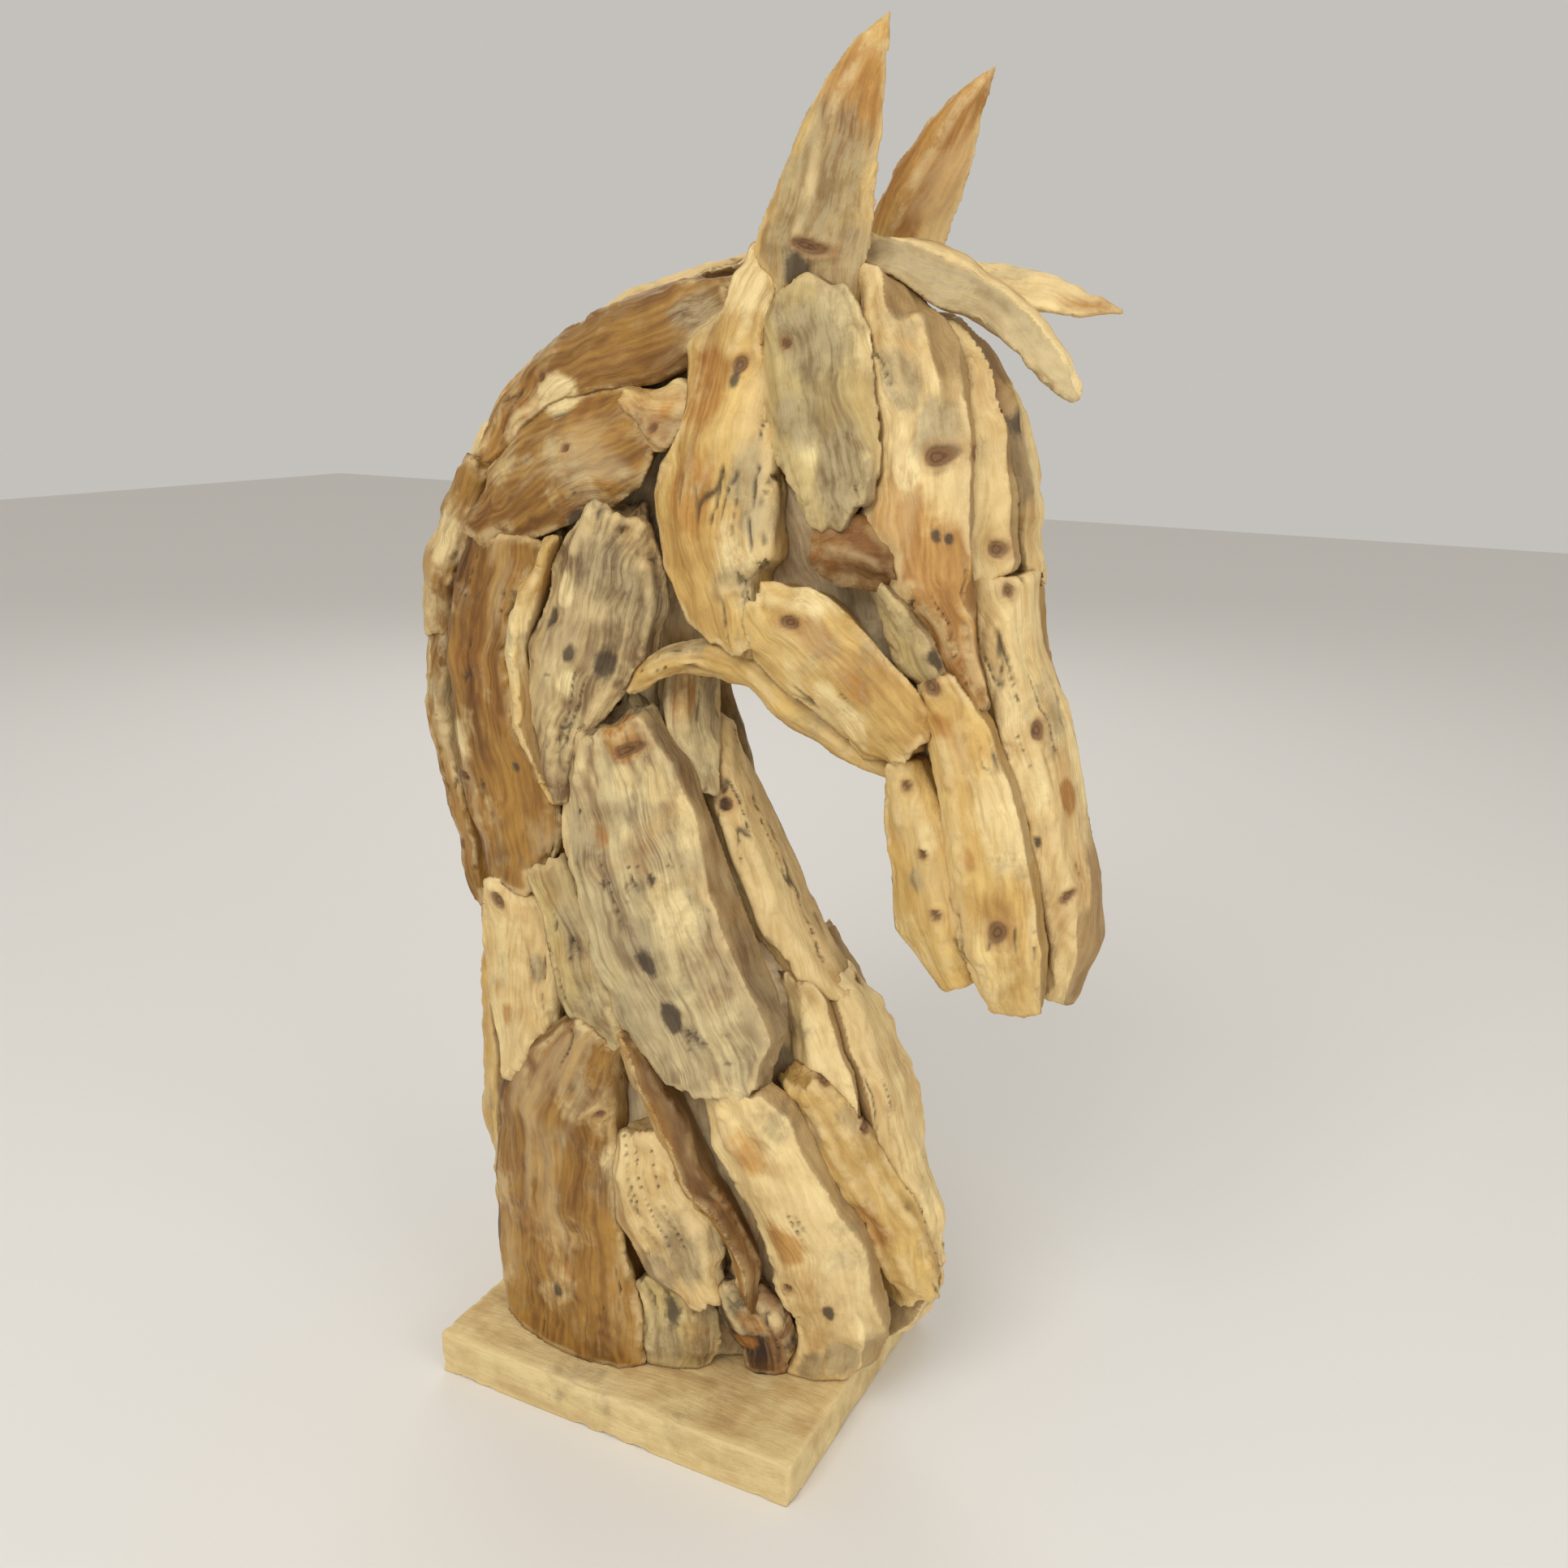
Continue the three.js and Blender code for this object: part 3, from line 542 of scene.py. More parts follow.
def grain_frame(points, end_grain=False, bins=9):
    """How far each point lies along the grain, across it and outwards, and the way out at each point."""
    centre = points.mean(0)
    spread, axes = np.linalg.eigh(np.cov((points - centre).T))
    long_axis = axes[:, 2]
    if long_axis[2] < 0:
        long_axis = -long_axis
    out = np.array(outward_from_body(Vector(centre)))
    if end_grain:
        long_axis, out = out, long_axis
    run = (points - centre) @ long_axis
    edges = np.linspace(run.min(), run.max(), bins + 1)
    middles = (edges[:-1] + edges[1:]) / 2
    cells = np.clip(np.digitize(run, edges) - 1, 0, bins - 1)
    line = np.array([
        points[cells == k].mean(0) if np.any(cells == k) else centre for k in range(bins)
    ])
    line[1:-1] = (line[:-2] + 2 * line[1:-1] + line[2:]) / 4
    spine = np.stack([np.interp(run, middles, line[:, k]) for k in range(3)], axis=1)
    ahead = np.gradient(line, axis=0)
    ahead = np.stack([np.interp(run, middles, ahead[:, k]) for k in range(3)], axis=1)
    ahead /= np.linalg.norm(ahead, axis=1)[:, None]
    across = np.cross(ahead, out)
    across /= np.linalg.norm(across, axis=1)[:, None]
    upward = np.cross(across, ahead)
    offset = points - spine
    lengths = np.linalg.norm(np.diff(line, axis=0), axis=1)
    travelled = np.concatenate([[0], np.cumsum(lengths)])
    along = np.interp(run, middles, travelled)
    along += np.minimum(run - middles[0], 0) + np.maximum(run - middles[-1], 0)
    grain = np.stack([
        along, (offset * across).sum(1), (offset * upward).sum(1),
    ], axis=1)
    return grain, upward, ahead


def mark_place(points, outer, node, shares):
    """The outer point of a piece nearest to those shares of the node's box."""
    low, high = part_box(node)
    wanted = [low[k] + (high[k] - low[k]) * shares[k] for k in range(3)]
    miss = np.linalg.norm(points - wanted, axis=1) + np.where(outer > 0.5, 0, 0.02)
    return np.argmin(miss)


def paint_marks(mesh, points, grain, outer, node, spec):
    """Weights for the colour marks, and knots that turn the grain round them."""
    weights = {kind: np.zeros(len(points)) for kind in MARK_KINDS}
    for kind, share_x, share_y, share_z, radius in spec.get("marks", ()):
        spot = grain[mark_place(points, outer, node, (share_x, share_y, share_z))]
        off = (grain - spot) / (radius * MM)
        distance = np.sqrt((off[:, 0] / 1.35) ** 2 + (off[:, 1] * 1.2) ** 2 + off[:, 2] ** 2)
        weights[kind] = np.maximum(weights[kind], np.exp(-(distance ** 2)))
    if "grey_side" in spec:
        turned = (read_normals(mesh) * np.array(spec["grey_side"])).sum(1)
        weights["grey"] = np.maximum(weights["grey"], smoothstep(turned, 0.06, 0.36))
    knot = np.zeros(len(points))
    ring = np.full(len(points), 9.0)
    bent = grain.copy()
    for share_x, share_y, share_z, radius in spec.get("knots", ()):
        index = mark_place(points, outer, node, (share_x, share_y, share_z))
        off = (grain - grain[index]) / (0.8 * radius * MM)
        flat = np.hypot(off[:, 0] / 1.3, off[:, 1])
        near = np.linalg.norm(points - points[index], axis=1) < 5 * radius * MM
        push = np.exp(-((flat / 2.2) ** 2)) * near
        bent[:, 1] -= (grain[:, 1] - grain[index, 1]) * 0.8 * push
        here = np.where(near, flat, 9.0)
        ring = np.minimum(ring, here)
        knot = np.maximum(knot, 1 - smoothstep(here, 0.6, 1.1))
    for kind in MARK_KINDS:
        store(mesh, "mark_" + kind, weights[kind])
    store(mesh, "knot", knot)
    store(mesh, "ring", ring)
    return bent


# ---- nodes -------------------------------------------------------------------------------------


class Wiring:
    """Adds nodes to a tree: a value or a socket can be given for every input."""

    def __init__(self, tree):
        self.tree = tree

    def add(self, kind, inputs=(), out=0, **settings):
        node = self.tree.nodes.new(kind)
        for name, value in settings.items():
            setattr(node, name, value)
        for key, value in dict(inputs).items():
            self.feed(node.inputs[key], value)
        return node.outputs[out]

    def feed(self, socket, value):
        if isinstance(value, bpy.types.NodeSocket):
            self.tree.links.new(value, socket)
        else:
            socket.default_value = value

    def math(self, operation, a, b=0.0, c=0.0):
        kind = "ShaderNodeMath"
        return self.add(kind, {0: a, 1: b, 2: c}, operation=operation)

    def vector(self, operation, a, b=(0, 0, 0)):
        return self.add("ShaderNodeVectorMath", {0: a, 1: b}, operation=operation)

    def scaled(self, vector, factor):
        return self.add("ShaderNodeVectorMath", {0: vector, "Scale": factor}, operation="SCALE")

    def step(self, value, low, high, to_low=0.0, to_high=1.0):
        inputs = {"Value": value, "From Min": low, "From Max": high, "To Min": to_low, "To Max": to_high}
        return self.add("ShaderNodeMapRange", inputs, interpolation_type="SMOOTHSTEP")

    def noise(self, vector, scale, detail=2.0, rough=0.5, out="Fac"):
        inputs = {"Vector": vector, "Scale": scale, "Detail": detail, "Roughness": rough}
        return self.add("ShaderNodeTexNoise", inputs, out)

    def mix(self, factor, a, b, blend="MIX"):
        node = self.tree.nodes.new("ShaderNodeMix")
        node.data_type = "RGBA"
        node.blend_type = blend
        self.feed(node.inputs["Factor"], factor)
        for socket, value in ((node.inputs[6], a), (node.inputs[7], b)):
            self.feed(socket, value if isinstance(value, bpy.types.NodeSocket) else (*value, 1))
        return node.outputs[2]


RELIEF_INPUTS = (
    ("Wave Height", 0.0), ("Wave Length", 0.05), ("Rim Lift", 0.0), ("Joint Fill", 0.0), ("Torn Ends", 0.0),
    ("Lump Height", 0.0), ("Scallop Depth", 0.0), ("Ridge Height", 0.0), ("Ridge Spacing", 0.01),
    ("Split Depth", 0.0), ("Pit Depth", 0.0), ("Edge Wear", 0.0), ("Seed", 0.0),
)


def relief_tree():
    """Lets the joints wander, then carves hollows, ridges, splits, pits and chipped, torn edges."""
    tree = bpy.data.node_groups.new("wood relief", "GeometryNodeTree")
    panel = tree.interface
    panel.new_socket("Geometry", in_out="INPUT", socket_type="NodeSocketGeometry")
    for name, default in RELIEF_INPUTS:
        panel.new_socket(name, in_out="INPUT", socket_type="NodeSocketFloat").default_value = default
    panel.new_socket("Material", in_out="INPUT", socket_type="NodeSocketMaterial")
    panel.new_socket("Geometry", in_out="OUTPUT", socket_type="NodeSocketGeometry")
    w = Wiring(tree)
    given = tree.nodes.new("NodeGroupInput").outputs
    place = w.add("GeometryNodeInputPosition")
    read = {
        name: w.add("GeometryNodeInputNamedAttribute", {"Name": name}, data_type="FLOAT")
        for name in ("outer", "edge", "rim", "ends", "knot", "ring")
    }
    way = {
        name: w.add("GeometryNodeInputNamedAttribute", {"Name": name}, data_type="FLOAT_VECTOR")
        for name in ("grain", "outward", "sideways", "ahead")
    }
    grain = way["grain"]

    def switched_on(depth):
        """1 for a depth of a millimetre or more, and 0 for none."""
        return w.math("MINIMUM", w.math("MULTIPLY", depth, 1000.0), 1.0)

    # The same two waves move every piece, so two pieces that meet still meet after them.
    height = w.add("ShaderNodeSeparateXYZ", {0: place}, "Z")
    free = w.step(height, PLINTH_TOP + 2 * MM, PLINTH_TOP + 40 * MM)
    free = w.math("MULTIPLY", free, w.step(height, 0.99, 0.86, 0.15, 1.0))
    long_wave = w.noise(place, w.math("DIVIDE", 1.0, given["Wave Length"]), 1.0, out="Color")
    short_wave = w.noise(place, w.math("DIVIDE", 2.9, given["Wave Length"]), 1.0, out="Color")
    long_wave = w.vector("SUBTRACT", long_wave, (0.5, 0.5, 0.5))
    short_wave = w.scaled(w.vector("SUBTRACT", short_wave, (0.5, 0.5, 0.5)), 0.2)
    amount = w.math("MULTIPLY", w.math("MULTIPLY", given["Wave Height"], 2.0), free)
    waved = w.add("GeometryNodeSetPosition", {
        "Geometry": given["Geometry"],
        "Offset": w.scaled(w.vector("ADD", long_wave, short_wave), amount),
    })

    seed = w.add("ShaderNodeCombineXYZ", {0: given["Seed"], 1: given["Seed"], 2: given["Seed"]})
    solid = w.vector("ADD", place, seed)
    seeded_grain = w.vector("ADD", grain, seed)

    # Rims stand up more or less along the edge, sides spread into the joint, ends are torn along the grain.
    unevenness = w.math("MULTIPLY_ADD", w.noise(solid, 13.0, 1.5), 3.6, -1.15)
    lift = w.math("MULTIPLY", w.math("MULTIPLY", given["Rim Lift"], unevenness), read["rim"])
    spread = w.math("MULTIPLY", given["Joint Fill"], read["rim"])
    teeth_place = w.vector("MULTIPLY", seeded_grain, (4.0, 80.0, 40.0))
    teeth = w.math("MULTIPLY_ADD", w.noise(teeth_place, 1.0, 2.0, 0.6), 3.0, -1.3)
    torn = w.math("MULTIPLY", w.math("MULTIPLY", given["Torn Ends"], teeth), read["ends"])
    shift = w.vector("ADD", w.scaled(way["outward"], lift), w.scaled(way["sideways"], spread))
    shift = w.vector("ADD", shift, w.scaled(way["ahead"], torn))
    shaped = w.add("GeometryNodeSetPosition", {"Geometry": waved, "Offset": w.scaled(shift, free)})

    lumps = w.math("SUBTRACT", w.noise(solid, 20.0, 2.0), 0.5)
    wobble = w.scaled(w.vector("SUBTRACT", w.noise(solid, 26.0, 2.0, out="Color"), (0.5, 0.5, 0.5)), 0.03)
    bowl_place = w.vector("MULTIPLY", w.vector("ADD", seeded_grain, wobble), (7.0, 27.0, 27.0))
    bowl = w.add("ShaderNodeTexVoronoi", {"Vector": bowl_place, "Scale": 1.0}, "Distance")
    bowl = w.math("SUBTRACT", w.math("MULTIPLY", bowl, bowl), 0.3)
    stretch = w.math("DIVIDE", 1.0, given["Ridge Spacing"])
    unit = w.add("ShaderNodeCombineXYZ", {0: w.math("MULTIPLY", stretch, 0.07), 1: stretch, 2: stretch})
    streak_place = w.vector("MULTIPLY", w.vector("ADD", seeded_grain, w.scaled(wobble, 0.5)), unit)
    ridges = w.math("SUBTRACT", w.noise(streak_place, 1.0, 3.0, 0.55), 0.5)
    calm = w.step(w.noise(solid, 15.0, 1.0), 0.35, 0.6, 0.25, 1.3)
    ridges = w.math("MULTIPLY", ridges, calm)
    fine = w.math("SUBTRACT", w.noise(streak_place, 3.1, 2.0), 0.5)

    # A split follows the line where a noise stretched along the grain passes its middle.
    split_place = w.vector("ADD", seeded_grain, w.scaled(wobble, 0.25))
    split_place = w.vector("MULTIPLY", split_place, (5.0, 46.0, 46.0))
    split_line = w.math("ABSOLUTE", w.math("SUBTRACT", w.noise(split_place, 1.0, 1.0), 0.52))
    split = w.step(split_line, 0.016, 0.0)
    split = w.math("MULTIPLY", split, w.step(w.noise(solid, 15.0, 1.0), 0.55, 0.62))
    split = w.math("MULTIPLY", split, switched_on(given["Split Depth"]))
    pit = w.step(w.noise(solid, 85.0, 2.5, 0.6), 0.62, 0.70)
    pit = w.math("MULTIPLY", pit, w.step(w.noise(solid, 21.0, 1.5), 0.48, 0.6))
    pit = w.math("MULTIPLY", pit, switched_on(given["Pit Depth"]))
    chip = w.step(w.noise(solid, 48.0, 2.5), 0.5, 0.64)
    chip_edge = w.step(read["edge"], 7.0 * MM, 1.0 * MM)
    worn = w.math("MULTIPLY", chip_edge, chip)
    knot_ring = w.step(w.math("ABSOLUTE", w.math("SUBTRACT", read["ring"], 1.2)), 0.6, 0.0)

    total = w.math("MULTIPLY", lumps, given["Lump Height"])
    for share, depth in (
        (bowl, given["Scallop Depth"]),
        (ridges, given["Ridge Height"]),
        (fine, w.math("MULTIPLY", given["Ridge Height"], 0.4)),
        (split, w.math("MULTIPLY", given["Split Depth"], -1.0)),
        (pit, w.math("MULTIPLY", given["Pit Depth"], -1.0)),
        (worn, w.math("MULTIPLY", given["Edge Wear"], -1.0)),
        (read["knot"], -1.6 * MM),
        (knot_ring, 1.0 * MM),
    ):
        total = w.math("MULTIPLY_ADD", share, depth, total)
    total = w.math("MULTIPLY", total, read["outer"])
    normal = w.add("GeometryNodeInputNormal")
    carved = w.add("GeometryNodeSetPosition", {
        "Geometry": shaped, "Offset": w.scaled(normal, total),
    })
    kept = carved
    # The hollow of the splits and pits is kept for the painted shade that the wood material puts in them.
    for name, value in (
        ("hollow", w.math("MULTIPLY", w.math("MAXIMUM", split, pit), read["outer"])),
        ("crest", w.math("MULTIPLY_ADD", bowl, 0.8, ridges)),
        ("chip", worn),
    ):
        kept = w.add("GeometryNodeStoreNamedAttribute", {"Geometry": kept, "Name": name, "Value": value},
                     data_type="FLOAT", domain="POINT")
    kept = w.add("GeometryNodeSetShadeSmooth", {"Geometry": kept, "Shade Smooth": True})
    kept = w.add("GeometryNodeRealizeInstances", {"Geometry": kept})
    kept = w.add("GeometryNodeSetMaterial", {"Geometry": kept, "Material": given["Material"]})
    w.feed(tree.nodes.new("NodeGroupOutput").inputs[0], kept)
    return tree


def add_tree(piece, tree, values):
    """Adds a geometry tree to a piece and sets its inputs by their identifiers."""
    modifier = piece.modifiers.new(tree.name, "NODES")
    modifier.node_group = tree
    for item in tree.interface.items_tree:
        if item.in_out == "INPUT" and item.name in values:
            modifier[item.identifier] = values[item.name]


# ---- finishes ----------------------------------------------------------------------------------


def wood_material(wood, tint_seed):
    """Root wood: growth lines and streaks, warm and pale patches, grey weather, knots, splits and rims, with
    painted shade on the sides that face a joint and in the splits and pits.
    """
    look = WOODS[wood]
    material = bpy.data.materials.new(f"{wood}_{tint_seed:.1f}")
    material.use_nodes = True
    tree = material.node_tree
    w = Wiring(tree)
    shader = tree.nodes["Principled BSDF"]

    def attribute(name, out="Fac"):
        return w.add("ShaderNodeAttribute", (), out, attribute_name=name)

    grain = attribute("grain", "Vector")
    place = w.add("ShaderNodeTexCoord", (), "Object")
    shift = (tint_seed * 1.7, tint_seed * 0.9, tint_seed * 2.3)
    moved = w.vector("ADD", place, shift)
    bend = w.scaled(w.vector("SUBTRACT", w.noise(place, 22.0, 2.0, out="Color"), (0.5, 0.5, 0.5)), 0.014)
    flow = w.vector("ADD", w.vector("ADD", grain, bend), shift)

    growth = w.noise(w.vector("MULTIPLY", flow, (4.0, 24.0, 24.0)), 1.0, 1.0)
    lines = w.math("SINE", w.math("MULTIPLY", growth, 120.0))
    broad = w.noise(w.vector("MULTIPLY", flow, (5.0, 45.0, 45.0)), 1.0, 3.0, 0.6)
    streak = w.noise(w.vector("MULTIPLY", flow, (13.0, 260.0, 260.0)), 1.0, 3.0, 0.65)
    fibre = w.noise(w.vector("MULTIPLY", flow, (45.0, 1200.0, 1200.0)), 1.0, 2.0, 0.6)
    mottle = w.noise(moved, 48.0, 4.0, 0.62)
    speck = w.noise(moved, 170.0, 3.0, 0.7)

    def ragged(name, soft=0.9):
        """A painted mark with an uneven edge."""
        uneven = w.math("MULTIPLY_ADD", w.noise(moved, 60.0, 4.0, 0.65), soft, -0.5 * soft)
        uneven = w.math("MULTIPLY_ADD", w.math("SUBTRACT", broad, 0.5), soft, uneven)
        weight = attribute(name)
        inside = w.step(w.math("ADD", weight, uneven), 0.22, 0.72)
        return w.math("MULTIPLY", inside, w.step(weight, 0.02, 0.2))

    figure = w.math("MULTIPLY_ADD", broad, 0.62, w.math("MULTIPLY", streak, 0.3))
    figure = w.math("MULTIPLY_ADD", lines, 0.028, w.math("ADD", figure, 0.04))
    figure = w.step(figure, 0.36, 0.64)
    colour = w.mix(w.math("MULTIPLY", figure, look["figure"] + 0.2), look["light"], look["deep"])
    warm_patch = w.step(w.noise(moved, 12.0, 3.0, 0.6), 0.5, 0.68, 0.0, 0.34)
    warm = w.math("MAXIMUM", warm_patch, w.math("MULTIPLY", ragged("mark_orange"), 0.85))
    warm_tone = w.mix(figure, (0.60, 0.31, 0.07), (0.35, 0.145, 0.028))
    colour = w.mix(warm, colour, warm_tone)
    pale_patch = w.noise(w.vector("ADD", moved, (3.3, 0.4, 1.9)), 17.0, 4.0, 0.62)
    pale_patch = w.step(pale_patch, 0.53, 0.68, 0.0, 0.5)
    pale = w.math("MAXIMUM", pale_patch, w.math("MULTIPLY", ragged("mark_pale"), 0.9))
    pale = w.math("MULTIPLY", pale, w.step(streak, 0.66, 0.4, 0.45, 1.0))
    colour = w.mix(pale, colour, (0.90, 0.73, 0.37))
    greyness = w.noise(w.vector("ADD", moved, (5.1, 2.2, 0.7)), 16.0, 5.0, 0.66)
    greyness = w.step(greyness, 0.60 - 0.24 * look["grey"], 0.72 - 0.18 * look["grey"], 0.0, 0.72)
    greyness = w.math("MAXIMUM", greyness, w.math("MULTIPLY", ragged("mark_grey"), 0.9))
    greyness = w.math("MULTIPLY", greyness, w.step(streak, 0.3, 0.62, 1.05, 0.62))
    weather = w.mix(w.step(w.math("ADD", streak, w.math("MULTIPLY", mottle, 0.6)), 0.68, 0.98),
                    (0.43, 0.34, 0.19), (0.165, 0.12, 0.072))
    colour = w.mix(w.math("MINIMUM", greyness, 0.92), colour, weather)
    shade = w.step(mottle, 0.36, 0.64, 0.0, 1.0)
    colour = w.mix(w.math("MULTIPLY", shade, 0.3), colour, (0.62, 0.50, 0.36), "MULTIPLY")
    colour = w.mix(w.math("MULTIPLY", w.step(fibre, 0.56, 0.74), 0.3), colour, (0.62, 0.48, 0.34), "MULTIPLY")
    colour = w.mix(w.step(speck, 0.67, 0.78, 0.0, 0.4), colour, look["deep"])
    colour = w.mix(w.step(attribute("crest"), 0.02, 0.35, 0.0, 0.28), colour, (0.86, 0.68, 0.36))
    colour = w.mix(w.step(attribute("crest"), -0.12, -0.34, 0.0, 0.3), colour, (0.5, 0.36, 0.22), "MULTIPLY")

    # Worn rims are pale, and the sides that face a joint get painted shade: their colour is multiplied
    # towards dark brown.
    rim_share = w.math("MULTIPLY", w.step(attribute("edge"), 6.5 * MM, 1.5 * MM), w.step(mottle, 0.42, 0.6))
    colour = w.mix(w.math("MULTIPLY", rim_share, 0.45), colour, (0.85, 0.66, 0.33))
    colour = w.mix(w.math("MULTIPLY", attribute("chip"), 0.5), colour, (0.80, 0.60, 0.30))
    # Painted shade where the surface does not face outwards: the sides in the joints and the foot of each
    # piece on the plinth.
    side = w.step(attribute("outer"), 0.45, 0.0, 0.0, 0.62)
    colour = w.mix(side, colour, (0.30, 0.20, 0.12), "MULTIPLY")

    ring = attribute("ring")
    ring_wave = w.math("SINE", w.math("MULTIPLY_ADD", ring, 15.0, w.math("MULTIPLY", streak, 5.0)))
    knot_colour = w.mix(w.step(ring_wave, -0.5, 0.9), (0.19, 0.085, 0.03), (0.09, 0.04, 0.018))
    colour = w.mix(w.step(ring, 1.9, 0.9, 0.0, 0.35), colour, (0.42, 0.20, 0.06))
    colour = w.mix(w.math("MULTIPLY", attribute("knot"), 0.9), colour, knot_colour)
    # Painted shade: splits and pits are coloured near black, together with the dark colour marks.
    split_shade_and_dark_marks = w.math("MAXIMUM", attribute("hollow"), ragged("mark_dark", 1.3))
    colour = w.mix(w.math("MULTIPLY", split_shade_and_dark_marks, 0.85), colour, (0.05, 0.033, 0.022))
    w.feed(shader.inputs["Base Color"], colour)

    rough = w.math("MULTIPLY_ADD", figure, 0.12, look["rough"] - 0.05)
    rough = w.math("MULTIPLY_ADD", greyness, 0.12, rough)
    w.feed(shader.inputs["Roughness"], rough)
    shader.inputs["Specular IOR Level"].default_value = 0.35
    bump_height = w.math("MULTIPLY_ADD", streak, 0.9, w.math("MULTIPLY", fibre, 0.4))
    bump_height = w.math("MULTIPLY_ADD", speck, 0.35, w.math("MULTIPLY_ADD", mottle, 0.8, bump_height))
    bump = w.add("ShaderNodeBump", {"Height": bump_height, "Strength": 0.8, "Distance": 1.3 * MM}, "Normal")
    w.feed(shader.inputs["Normal"], bump)
    return material


def finish_piece(node, wood, mesh_size, relief, spec):
    """Copies a CAD node, wears its facets smooth, carves its surface and gives it its wood."""
    carving = bpy.context.scene.driftwood_carving
    source = merged_copy(node)
    tree = edge_tree(source)
    piece = remeshed(source, node + "_wood", mesh_size)
    source.free()
    mesh = piece.data
    points = read_points(mesh)
    near_edge = np.array([tree.find(point)[2] for point in points])
    free = smoothstep(near_edge, KEPT_EDGE, carving.crisp_edge)
    points = smoothed(mesh, points, free, carving.smoothing)
    points = smoothed(mesh, points, np.full(len(points), 0.7), 2)
    mesh.vertices.foreach_set("co", points.ravel())
    mesh.update()
    grain, outward, ahead = grain_frame(points, spec.get("end_grain", False))
    normals = read_normals(mesh)
    facing = (normals * outward).sum(1)
    # Where a face turns away from the body, into a joint, outer drops, and the wood material paints shade
    # there.
    outer = smoothstep(facing, 0.0, 0.45) if relief["one_sided"] else np.ones(len(points))
    # Near the plinth top a piece is left uncarved, and the low outer value there also gives it painted shade
    # where it stands on the plinth.
    if node != "plinth":
        outer = outer * smoothstep(points[:, 2], PLINTH_TOP + 1 * MM, PLINTH_TOP + 9 * MM)
    rim = np.exp(-((near_edge / RIM_WIDTH) ** 2)) * smoothstep(facing, -0.7, -0.1)
    sideways = normals - outward * facing[:, None]
    length = grain[:, 0].max() - grain[:, 0].min()
    from_end = np.minimum(grain[:, 0] - grain[:, 0].min(), grain[:, 0].max() - grain[:, 0])
    sign = np.where(grain[:, 0] > grain[:, 0].mean(), 1, -1)
    ends = sign * (1 - smoothstep(from_end, 0, min(TORN_LENGTH, 0.25 * length)))
    grain = paint_marks(mesh, points, grain, outer, node, spec)
    store(mesh, "grain", grain)
    store(mesh, "outward", outward)
    store(mesh, "sideways", sideways)
    store(mesh, "ahead", ahead)
    store(mesh, "outer", outer)
    store(mesh, "edge", np.minimum(near_edge, 0.03))
    store(mesh, "rim", rim)
    store(mesh, "ends", ends)
    seed = sum(ord(letter) for letter in node) % 97 / 9.7
    values = {name: relief.get(name, default) for name, default in RELIEF_INPUTS}
    values |= {"Seed": seed, "Material": wood_material(wood, seed)}
    add_tree(piece, relief_group(), values)
    bake_modifiers(piece)
    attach(piece, "root")
    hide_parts(node)


def relief_group():
    return bpy.data.node_groups.get("wood relief") or relief_tree()


def plank_relief(**changes):
    """The relief of a slab, with what differs on some pieces."""
    carving = bpy.context.scene.driftwood_carving
    relief = {
        "one_sided": True,
        "Wave Height": carving.wave_height, "Wave Length": carving.wave_length,
        "Rim Lift": carving.rim_lift, "Joint Fill": carving.joint_fill, "Torn Ends": carving.torn_ends,
        "Lump Height": carving.lump_height, "Scallop Depth": carving.scallop_depth,
        "Ridge Height": carving.ridge_height, "Ridge Spacing": carving.ridge_spacing,
        "Split Depth": carving.split_depth, "Pit Depth": 0.0, "Edge Wear": carving.edge_wear,
    }
    return relief | changes


def limb_relief(**changes):
    """The relief of an ear or a branch, which is carved all round."""
    smooth = {
        "one_sided": False, "Rim Lift": 0.0, "Joint Fill": 0.0, "Torn Ends": 0.0, "Lump Height": 2.5 * MM,
    }
    return plank_relief(**(smooth | changes))


def finish_pieces(names, relief):
    carving = bpy.context.scene.driftwood_carving
    for name in names:
        spec = PIECES[name]
        far = name.startswith("left_") and name not in ("left_ear", "left_brow_strip")
        finish_piece(name, spec["wood"], carving.far_mesh if far else carving.near_mesh, relief, spec)


# ---- one operator for each group of pieces -----------------------------------------------------


class DRIFTWOOD_OT_plinth(bpy.types.Operator):
    """Saws the plinth: worn edges, saw marks and dents"""

    bl_idname = "driftwood.plinth"
    bl_label = "Plinth"

    def execute(self, context):
        relief = limb_relief(**{
            "Wave Height": 0.0, "Lump Height": 0.8 * MM, "Scallop Depth": 0.0, "Ridge Height": 0.5 * MM,
            "Ridge Spacing": 14 * MM, "Split Depth": 0.0, "Edge Wear": 1.6 * MM,
        })
        finish_piece("plinth", "sawn", context.scene.driftwood_carving.plinth_mesh, relief, {})
        return {"FINISHED"}


class DRIFTWOOD_OT_inner_wood(bpy.types.Operator):
    """Carves the grey inner wood that shows in the gaps"""

    bl_idname = "driftwood.inner_wood"
    bl_label = "Inner wood"

    def execute(self, context):
        relief = limb_relief(**{"Ridge Spacing": 12 * MM, "Ridge Height": 3 * MM, "Lump Height": 4 * MM})
        for node in INNER_WOOD:
            finish_piece(node, "inner", context.scene.driftwood_carving.inner_mesh, relief, {})
        return {"FINISHED"}


class DRIFTWOOD_OT_ears(bpy.types.Operator):
    """Carves the two smooth ears"""

    bl_idname = "driftwood.ears"
    bl_label = "Ears"

    def execute(self, context):
        relief = limb_relief(**{
            "Lump Height": 1.5 * MM, "Scallop Depth": 1.0 * MM, "Ridge Height": 0.5 * MM, "Edge Wear": 1 * MM,
            "Split Depth": 0.0,
        })
        finish_pieces(("right_ear", "left_ear"), relief)
        return {"FINISHED"}


class DRIFTWOOD_OT_forelock(bpy.types.Operator):
    """Carves the two branches of the forelock"""

    bl_idname = "driftwood.forelock"
    bl_label = "Forelock"

    def execute(self, context):
        finish_pieces(("forelock_branch", "forelock_point"), limb_relief(**{"Lump Height": 5 * MM}))
        return {"FINISHED"}


